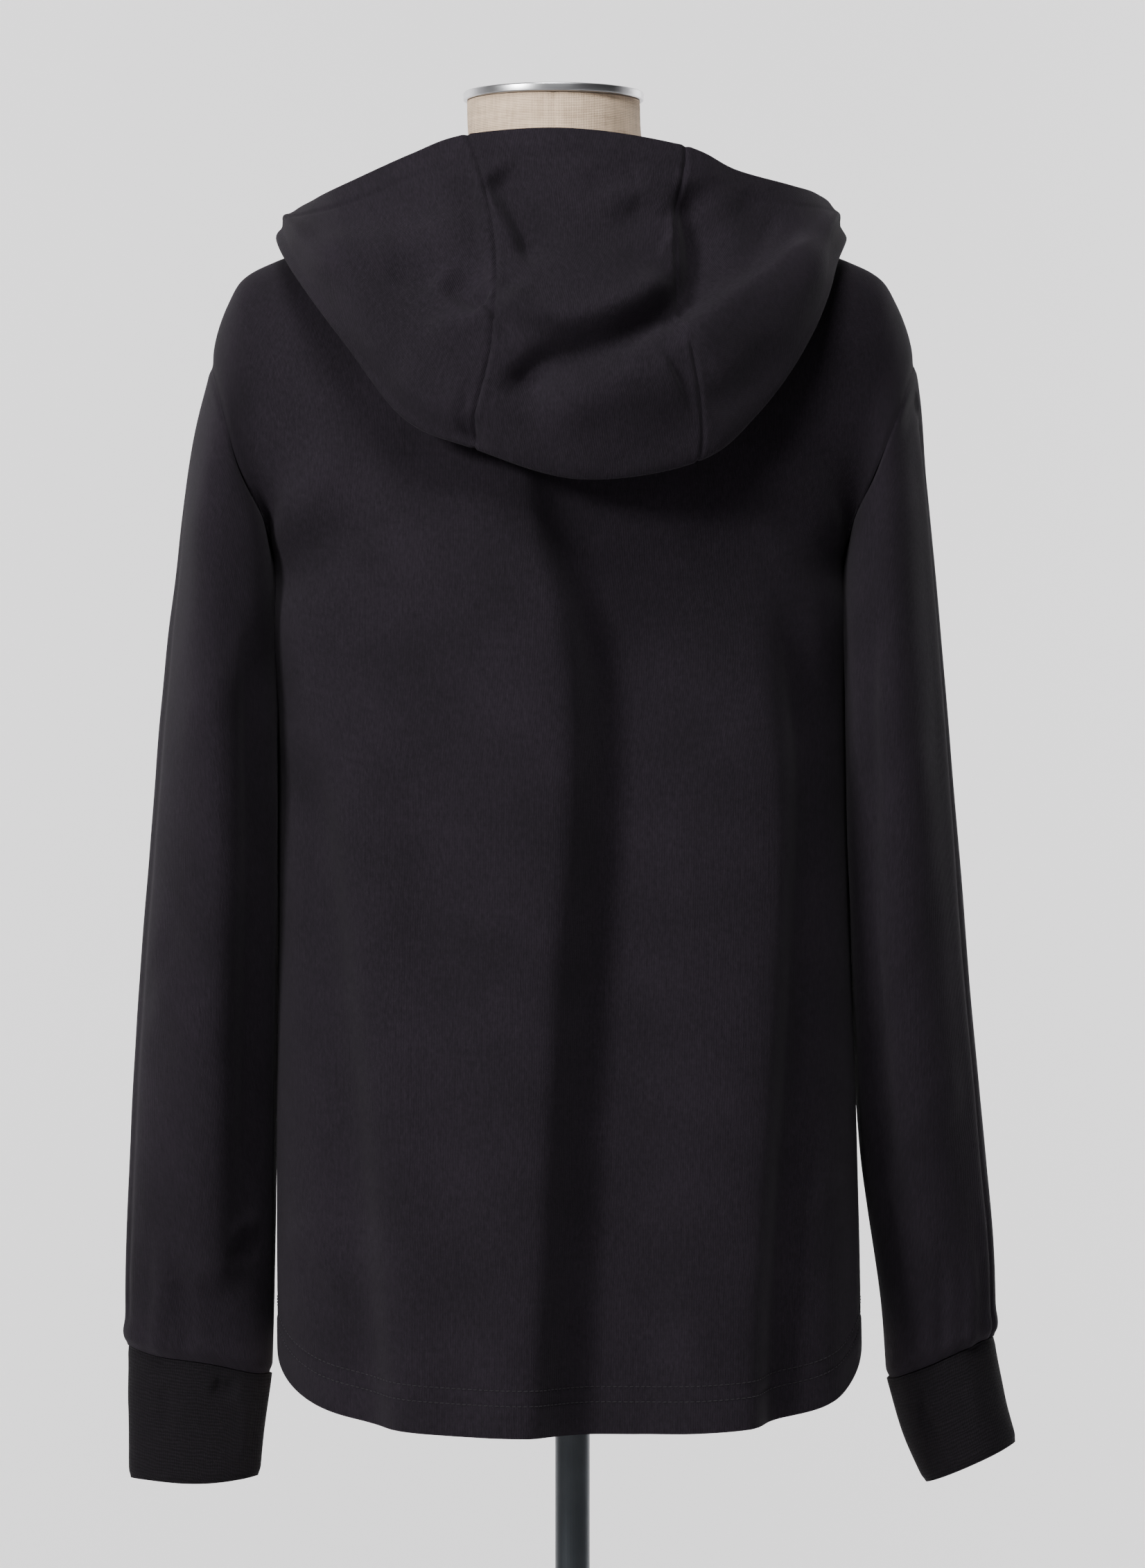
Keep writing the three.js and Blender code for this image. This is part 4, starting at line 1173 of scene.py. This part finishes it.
class Value:
    """A shader socket that takes part in sums, so that a pattern reads as its formula."""

    def __init__(self, graph: "Graph", socket: bpy.types.NodeSocket) -> None:
        """Args: graph: the material it is in. socket: the output it stands for."""
        self.graph, self.socket = graph, socket

    def __add__(self, other: object) -> "Value":
        """This plus the other."""
        return self.graph.maths("ADD", self, other)

    def __sub__(self, other: object) -> "Value":
        """This less the other."""
        return self.graph.maths("SUBTRACT", self, other)

    def __rsub__(self, other: object) -> "Value":
        """The other less this."""
        return self.graph.maths("SUBTRACT", other, self)

    def __mul__(self, other: object) -> "Value":
        """This times the other."""
        return self.graph.maths("MULTIPLY", self, other)

    def __truediv__(self, other: object) -> "Value":
        """This over the other."""
        return self.graph.maths("DIVIDE", self, other)

    def __pow__(self, power: float) -> "Value":
        """This to a power."""
        return self.graph.maths("POWER", self, power)

    def sine(self) -> "Value":
        """The sine of the value, in radians."""
        return self.graph.maths("SINE", self)

    def absolute(self) -> "Value":
        """The value without its sign."""
        return self.graph.maths("ABSOLUTE", self)

    def soft_step(self, start: float, end: float) -> "Value":
        """0 before start, 1 after end, and a soft rise between."""
        node = self.graph.node("ShaderNodeMapRange", {"interpolation_type": "SMOOTHSTEP"},
                               {0: self, 1: start, 2: end, 3: 0.0, 4: 1.0})
        return Value(self.graph, node.outputs[0])


class Graph:
    """A material made of nodes."""

    def __init__(self, name: str) -> None:
        """Args: name: the material's name."""
        self.material = bpy.data.materials.new(name)
        self.material.use_nodes = True
        self.tree = self.material.node_tree
        self.tree.nodes.clear()

    def node(self, kind: str, settings: dict[str, object] | None = None,
             inputs: dict[str | int, object] | None = None) -> bpy.types.Node:
        """Adds a node.

        Args:
            kind: the node's type name.
            settings: its own settings.
            inputs: a number, colour or Value for each named or numbered input.
        Returns:
            The node.
        """
        made = self.tree.nodes.new(kind)
        for key, setting in (settings or {}).items():
            setattr(made, key, setting)
        for key, given in (inputs or {}).items():
            if isinstance(given, Value):
                self.tree.links.new(given.socket, made.inputs[key])
            else:
                made.inputs[key].default_value = given
        return made

    def maths(self, operation: str, *operands: object) -> Value:
        """A Math node of numbers and Values."""
        made = self.node("ShaderNodeMath", {"operation": operation}, dict(enumerate(operands)))
        return Value(self, made.outputs[0])

    def cloth_mm(self) -> tuple[Value, Value]:
        """The cloth's own coordinates in millimetres: across and down."""
        uv = self.node("ShaderNodeUVMap", {"uv_map": "cloth"})
        parts = self.node("ShaderNodeSeparateXYZ", {}, {0: Value(self, uv.outputs[0])})
        return Value(self, parts.outputs[0]) * 1000, Value(self, parts.outputs[1]) * 1000

    def object_mm(self) -> tuple[Value, Value, Value]:
        """Object coordinates in millimetres."""
        place = self.node("ShaderNodeTexCoord")
        parts = self.node("ShaderNodeSeparateXYZ", {}, {0: Value(self, place.outputs["Object"])})
        return tuple(Value(self, output) * 1000 for output in parts.outputs)

    def noise(self, x: Value, y: Value, z: Value | float, size: float, detail: float = 3.0) -> Value:
        """Soft noise from 0 to 1 whose lumps are about size across, in the units of x, y and z."""
        place = self.node("ShaderNodeCombineXYZ", {}, {0: x, 1: y, 2: z})
        made = self.node("ShaderNodeTexNoise", {},
                         {"Vector": Value(self, place.outputs[0]), "Scale": 1 / size, "Detail": detail})
        return Value(self, made.outputs[0])

    def mix(self, share: Value, first: Sequence[float], second: Sequence[float]) -> Value:
        """A colour between two linear colours."""
        made = self.node("ShaderNodeMix", {"data_type": "RGBA"},
                         {0: share, 6: (*first, 1.0), 7: (*second, 1.0)})
        return Value(self, made.outputs[2])

    def bump(self, height: Value, distance: float, strength: float) -> Value:
        """A normal from a height in units of distance metres."""
        made = self.node("ShaderNodeBump", {}, {"Height": height, "Distance": distance, "Strength": strength})
        return Value(self, made.outputs[0])

    def surface(self, inputs: dict[str, object]) -> bpy.types.Material:
        """Ends the material with one Principled shader of these inputs."""
        shader = self.node("ShaderNodeBsdfPrincipled", {}, inputs)
        end = self.node("ShaderNodeOutputMaterial")
        self.tree.links.new(shader.outputs[0], end.inputs[0])
        return self.material


@dataclass(frozen=True)
class KnitFinish:
    """A black knit: colours, the spacing of its wales and courses in millimetres, and its bump."""

    name: str
    dark: tuple[float, float, float]
    light: tuple[float, float, float]
    wale: float
    course: float
    depth: float
    roughness: float
    sheen: float

    def material(self) -> bpy.types.Material:
        """Fine vertical wales broken by courses, with uneven yarn and a faint crepe grain."""
        g = Graph(self.name)
        x, y = g.cloth_mm()
        drift = g.noise(x, y, 0.0, 9.0)
        wales = ((x / self.wale + drift * 0.9) * (2 * math.pi)).sine() * 0.5 + 0.5
        courses = ((y / self.course + g.noise(x, y, 3.0, 4.0) * 1.6) * (2 * math.pi)).sine() * 0.5 + 0.5
        grain = g.noise(x, y * 0.55, 7.0, 0.9, 4.0)
        crepe = g.noise(x, y * 0.35, 5.0, 2.6, 3.0)
        height = wales * 0.42 + courses * wales * 0.22 + grain * 0.55 + crepe * 0.5
        worn = g.noise(x, y, 1.0, 60.0, 2.0)
        speckle = g.noise(x, y * 0.55, 9.0, 1.8, 2.0)
        shade = (height * 0.55 + worn * 0.5 + speckle * 0.55 - 0.62).soft_step(0.0, 0.85)
        return g.surface({
            "Base Color": g.mix(shade, self.dark, self.light),
            "Roughness": worn * 0.08 + self.roughness,
            "Specular IOR Level": 0.12,
            "Sheen Weight": self.sheen,
            "Sheen Roughness": 0.45,
            "Sheen Tint": (0.93, 0.88, 0.96, 1.0),
            "Normal": g.bump(height, self.depth * MM, 0.75),
        })


@dataclass(frozen=True)
class RibFinish:
    """The cuffs' crinkled band: fine ribs that run round the wrist."""

    name: str
    dark: tuple[float, float, float]
    light: tuple[float, float, float]
    rib: float
    depth: float

    def material(self) -> bpy.types.Material:
        """Ribs round the wrist, bent and broken by a crinkle."""
        g = Graph(self.name)
        x, y = g.cloth_mm()
        bend = g.noise(x * 0.5, y, 0.0, 6.0, 3.0)
        ribs = ((y / self.rib + bend * 2.1) * (2 * math.pi)).sine() * 0.5 + 0.5
        wales = ((x / 1.3 + g.noise(x, y, 4.0, 5.0) * 1.1) * (2 * math.pi)).sine() * 0.5 + 0.5
        grain = g.noise(x, y, 9.0, 0.8, 4.0)
        height = ribs * 0.45 + wales * 0.35 + grain * 0.6
        return g.surface({
            "Base Color": g.mix(height.soft_step(0.3, 1.3), self.dark, self.light),
            "Roughness": 0.92,
            "Specular IOR Level": 0.12,
            "Sheen Weight": 0.015,
            "Sheen Roughness": 0.5,
            "Normal": g.bump(height, self.depth * MM, 0.85),
        })


@dataclass(frozen=True)
class LinenFinish:
    """The form's coarse beige linen: thread spacing in millimetres and its two colours."""

    name: str
    dark: tuple[float, float, float]
    light: tuple[float, float, float]
    thread: float
    depth: float

    def material(self) -> bpy.types.Material:
        """A plain weave round the form, with slubs: warp and weft swell in turn."""
        g = Graph(self.name)
        x, y, z = g.object_mm()
        radius = (x * x + y * y) ** 0.5
        around = g.maths("ARCTAN2", x, y * -1) * radius
        warp = around / self.thread + g.noise(around, z * 0.2, 0.0, 14.0) * 0.7
        weft = z / self.thread + g.noise(around * 0.2, z, 5.0, 14.0) * 0.7
        up = (warp * math.pi).sine().absolute()
        across = (weft * math.pi).sine().absolute()
        turn = ((warp * (2 * math.pi)).sine() * (weft * (2 * math.pi)).sine()) * 0.5 + 0.5
        slub = g.noise(around, z * 0.15, 2.0, 2.4, 2.0) * 0.5 + g.noise(around * 0.15, z, 8.0, 2.4, 2.0) * 0.5
        height = up * turn + across * (1 - turn) + slub * 0.6
        tone = height * 0.45 + slub * 0.8 + g.noise(x, y, z, 30.0) * 0.35
        return g.surface({
            "Base Color": g.mix(tone.soft_step(0.35, 1.35), self.dark, self.light),
            "Roughness": slub * 0.1 + 0.82,
            "Specular IOR Level": 0.3,
            "Sheen Weight": 0.12,
            "Normal": g.bump(height, self.depth * MM, 0.8),
        })


@dataclass(frozen=True)
class MetalFinish:
    """A brushed or blacked metal: its colours, roughness and how strong its grain is."""

    name: str
    colour: tuple[float, float, float]
    worn: tuple[float, float, float]
    roughness: float
    grain: float

    def material(self) -> bpy.types.Material:
        """Metal with a fine turned grain round the vertical axis and faint handling marks."""
        g = Graph(self.name)
        x, y, z = g.object_mm()
        radius = (x * x + y * y) ** 0.5
        turned = g.noise(radius * 6, z * 6, 0.0, 1.5, 2.0)
        marks = g.noise(x, y, z, 26.0, 3.0)
        return g.surface({
            "Base Color": g.mix(marks.soft_step(0.45, 0.8), self.colour, self.worn),
            "Metallic": 1.0,
            "Roughness": marks * 0.14 + turned * 0.06 + self.roughness,
            "Normal": g.bump(turned, 0.05 * MM, self.grain),
        })


KNIT = KnitFinish("black_knit", (0.0047, 0.0036, 0.0053), (0.0152, 0.0117, 0.0166), 0.95, 0.8, 0.3, 0.9, 0.02)
THREAD = KnitFinish("black_thread", (0.008, 0.007, 0.009), (0.02, 0.018, 0.02), 0.6, 0.5, 0.1, 0.7, 0.1)
RIB = RibFinish("black_rib", (0.0024, 0.0019, 0.0026), (0.0082, 0.0066, 0.0088), 1.9, 0.42)
LINEN = LinenFinish("beige_linen", (0.28, 0.19, 0.12), (0.80, 0.605, 0.43), 0.95, 0.35)
STEEL = MetalFinish("neck_steel", (0.62, 0.62, 0.63), (0.48, 0.48, 0.5), 0.2, 0.25)
GUNMETAL = MetalFinish("dark_gunmetal", (0.042, 0.047, 0.052), (0.053, 0.059, 0.065), 0.30, 0.15)


def stage_material() -> bpy.types.Material:
    """A pale matt grey for the floor and wall, clear when seen from behind."""
    g = Graph("pale_stage")
    behind = Value(g, g.node("ShaderNodeNewGeometry").outputs["Backfacing"])
    x, y, z = g.object_mm()
    tone = g.noise(x, y, z, 700.0, 2.0).soft_step(0.2, 0.8)
    return g.surface({"Base Color": g.mix(tone, (0.74, 0.735, 0.74), (0.77, 0.765, 0.77)), "Roughness": 0.95,
                      "Alpha": 1 - behind,
                      "Emission Color": (0.9, 0.88, 0.89, 1.0), "Emission Strength": 0.34})


# ---- Studio ---------------------------------------------------------------------------------------

@dataclass(frozen=True)
class Lamp:
    """A square soft light: where it stands, what it is turned to, its side in metres and its power."""

    name: str
    place: tuple[float, float, float]
    target: tuple[float, float, float]
    side: float
    power: float

    def build(self) -> bpy.types.Object:
        """Adds the light to the scene."""
        light = bpy.data.lights.new(self.name, "AREA")
        light.shape, light.size, light.energy = "SQUARE", self.side, self.power
        made = bpy.data.objects.new(self.name, light)
        made.location = self.place
        made.rotation_euler = (Vector(self.target) - Vector(self.place)).to_track_quat("-Z", "Y").to_euler()
        bpy.context.scene.collection.objects.link(made)
        return made


LAMPS = rows_of(
    Lamp,
    ("key_left", (-2.5, -2.4, 2.5), (0, 0, 1.15), 0.7, 184),
    ("front_soft", (0.6, -3.4, 2.7), (0, 0, 1.15), 1.6, 4),
    ("top_soft", (-0.1, -1.3, 3.3), (0, 0, 1.3), 0.9, 72),
    ("wall_left", (-2.2, 0.9, 1.8), (-2.0, 1.9, 1.4), 1.2, 24),
    ("wall_right", (2.2, 0.9, 1.8), (2.0, 1.9, 1.4), 1.2, 60),
)


@dataclass(frozen=True)
class Studio:
    """The plain pale stage, its lights and the camera behind the wearer."""

    camera_back: float = 3.3
    camera_height: float = 1.097
    view_height: float = 0.9052
    sensor: float = 36.0
    wall_y: float = 1.9
    bend: float = 0.8
    reach: float = 20.0

    def sweep(self) -> bpy.types.Object:
        """Floor and wall in one sheet: a straight floor, a quarter circle and a straight wall."""
        angle = np.linspace(0, np.pi / 2, 24)
        floor = np.stack([np.linspace(-self.reach, self.wall_y - self.bend, 12)[:-1], np.zeros(11)], -1)
        turn = np.stack([self.wall_y - self.bend + self.bend * np.sin(angle),
                         self.bend * (1 - np.cos(angle))], -1)
        wall = np.stack([np.full(8, self.wall_y), np.linspace(self.bend, 4.6, 9)[1:]], -1)
        return self.strip("stage", np.concatenate([floor, turn, wall]))

    def ground(self) -> bpy.types.Object:
        """The floor beyond the wall, which shows only from in front of the form."""
        y = np.linspace(self.wall_y - self.bend, self.reach, 8)
        return self.strip("stage_beyond", np.stack([y, np.full(8, -0.001)], -1))

    def strip(self, name: str, profile: Array) -> bpy.types.Object:
        """A sheet as wide as the stage.

        Args:
            name: its name.
            profile: y and z in metres, from the near end on.
        """
        x, row = np.meshgrid(np.linspace(-self.reach, self.reach, 14), np.arange(len(profile)))
        points = np.stack([x, profile[row, 0], profile[row, 1]], -1) / MM
        numbers = np.arange(x.size).reshape(x.shape)
        made = mesh_object(name, points.reshape(-1, 3), [grid_quads(numbers)], sharp=None)
        made.data.materials.append(stage_material())
        return made

    def camera(self) -> bpy.types.Object:
        """A level camera behind the wearer, whose lens shows view_height at the middle of the form."""
        camera = bpy.data.cameras.new("camera")
        camera.sensor_fit, camera.sensor_width = "AUTO", self.sensor
        camera.lens = self.sensor * self.camera_back / self.view_height
        made = bpy.data.objects.new("camera", camera)
        made.location = (0, -self.camera_back, self.camera_height)
        made.rotation_euler = (math.pi / 2, 0, 0)
        bpy.context.scene.collection.objects.link(made)
        bpy.context.scene.camera = made
        return made

    def build(self) -> None:
        """Adds the stage, the lights, the dim surroundings and the camera."""
        self.sweep()
        self.ground()
        for lamp in LAMPS:
            lamp.build()
        world = bpy.data.worlds.new("studio")
        world.use_nodes = True
        background = world.node_tree.nodes["Background"]
        background.inputs[0].default_value = (0.8, 0.82, 0.86, 1)
        background.inputs[1].default_value = 0.02
        bpy.context.scene.world = world
        self.camera()


# ---- The whole ------------------------------------------------------------------------------------

@dataclass(frozen=True)
class Cut:
    """A piece of cloth as it was cut: width and length in metres and its flat area in square metres."""

    width: float
    length: float
    area: float


def dress_piece(made: bpy.types.Object, finish: bpy.types.Material,
                node: str | None = None) -> None:
    """Gives a piece its material and ties it to the frame.

    Args:
        made: the piece.
        finish: its material.
        node: the CAD node it stands for, if any.
    """
    made.data.materials.append(finish)
    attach(made, "root")
    if node:
        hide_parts(node)
    log.info("%s: %d vertices", made.name, len(made.data.vertices))


class Garment:
    """The hooded cardigan: back, fronts, sleeves, cuffs and a three-piece hood, with its stitching."""

    def __init__(self) -> None:
        """Makes the finishes that its pieces share."""
        self.knit, self.rib, self.thread = KNIT.material(), RIB.material(), THREAD.material()

    def piece(self, grid: ClothGrid, node: str,
              stitches: Sequence[bpy.types.Object] = (), rib: bool = False) -> None:
        made = grid.shell("knit_" + node, RIB_WALL if rib else CLOTH_WALL)
        dress_piece(made, self.rib if rib else self.knit, node)
        for row in stitches:
            dress_piece(row, self.thread)

    def body(self) -> None:
        """The back with its two hem rows, and the two plain fronts."""
        panels = {
            "back": BodyPanel(BACK_CUT, BACK_CREASES, 270, 165),
            "front_left": BodyPanel(FRONT_CUT, FRONT_CREASES, 70, 150, 0, -1, 3, 14),
            "front_right": BodyPanel(FRONT_CUT, FRONT_CREASES, 70, 150, 1, 0, 3, 14),
        }
        for node, panel in panels.items():
            grid = panel.grid()
            rows = [stitch_row(f"stitches_{node}_{i}", *panel.hem_path(grid, above), 3.2, 2.5, 0.34)
                    for i, above in enumerate(panel.hem_rows)]
            self.piece(grid, node, stitches=rows)

    def arms(self) -> None:
        """Both sleeves and both cuffs."""
        sleeves = {
            "left": ArmTube(LEFT_SLEEVE, Side.LEFT, 0.3, LEFT_SLEEVE_CREASES, 130, 200,
                            foot_roll=1.6, puff=1.3),
            "right": ArmTube(RIGHT_SLEEVE, Side.RIGHT, 0.3, RIGHT_SLEEVE_CREASES, 130, 200,
                             foot_roll=1.6, puff=1.1),
        }
        cuffs = {
            "left": ArmTube(LEFT_CUFF, Side.LEFT, 0.9, LEFT_CUFF_CREASES, 140, 50,
                            seam_roll=0.5, pinch=1.4, foot_dip=3.0),
            "right": ArmTube(RIGHT_CUFF, Side.RIGHT, 0.9, RIGHT_CUFF_CREASES, 140, 50,
                             seam_roll=0.5, pinch=1.3),
        }
        for word, sleeve in sleeves.items():
            self.piece(sleeve.grid(), f"sleeve_{word}")
            cuff = cuffs[word]
            self.piece(cuff.grid(), f"cuff_{word}", rib=True)

    def hood(self) -> None:
        """The three panels of the hood, thrown back over the neck of the back."""
        panels = {
            "hood_left": HoodPanel(-1, -0.1199, 170, 160, (False, True)),
            "hood_centre": HoodPanel(-0.1201, 0.1401, 100, 160, (True, True)),
            "hood_right": HoodPanel(0.1399, 1, 170, 160, (True, False), rim_depth=0.2),
        }
        for node, panel in panels.items():
            self.piece(panel.grid(), node)


def dress_form() -> None:
    """The form under the garment: linen torso, steel cap, and its pole and base in gunmetal."""
    form = DressForm()
    dress_piece(form.torso(), LINEN.material(), "form_torso")
    dress_piece(form.cap(), STEEL.material(), "neck_cap")
    dark = GUNMETAL.material()
    for node in ("pole", "base_plate"):
        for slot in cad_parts[node].material_slots:
            slot.material = dark


def main() -> None:
    """Builds the looks."""
    logging.basicConfig(level=logging.INFO, format="%(message)s")
    garment = Garment()
    garment.body()
    garment.arms()
    garment.hood()
    dress_form()
    Studio().build()


if __name__ == "__main__":
    main()
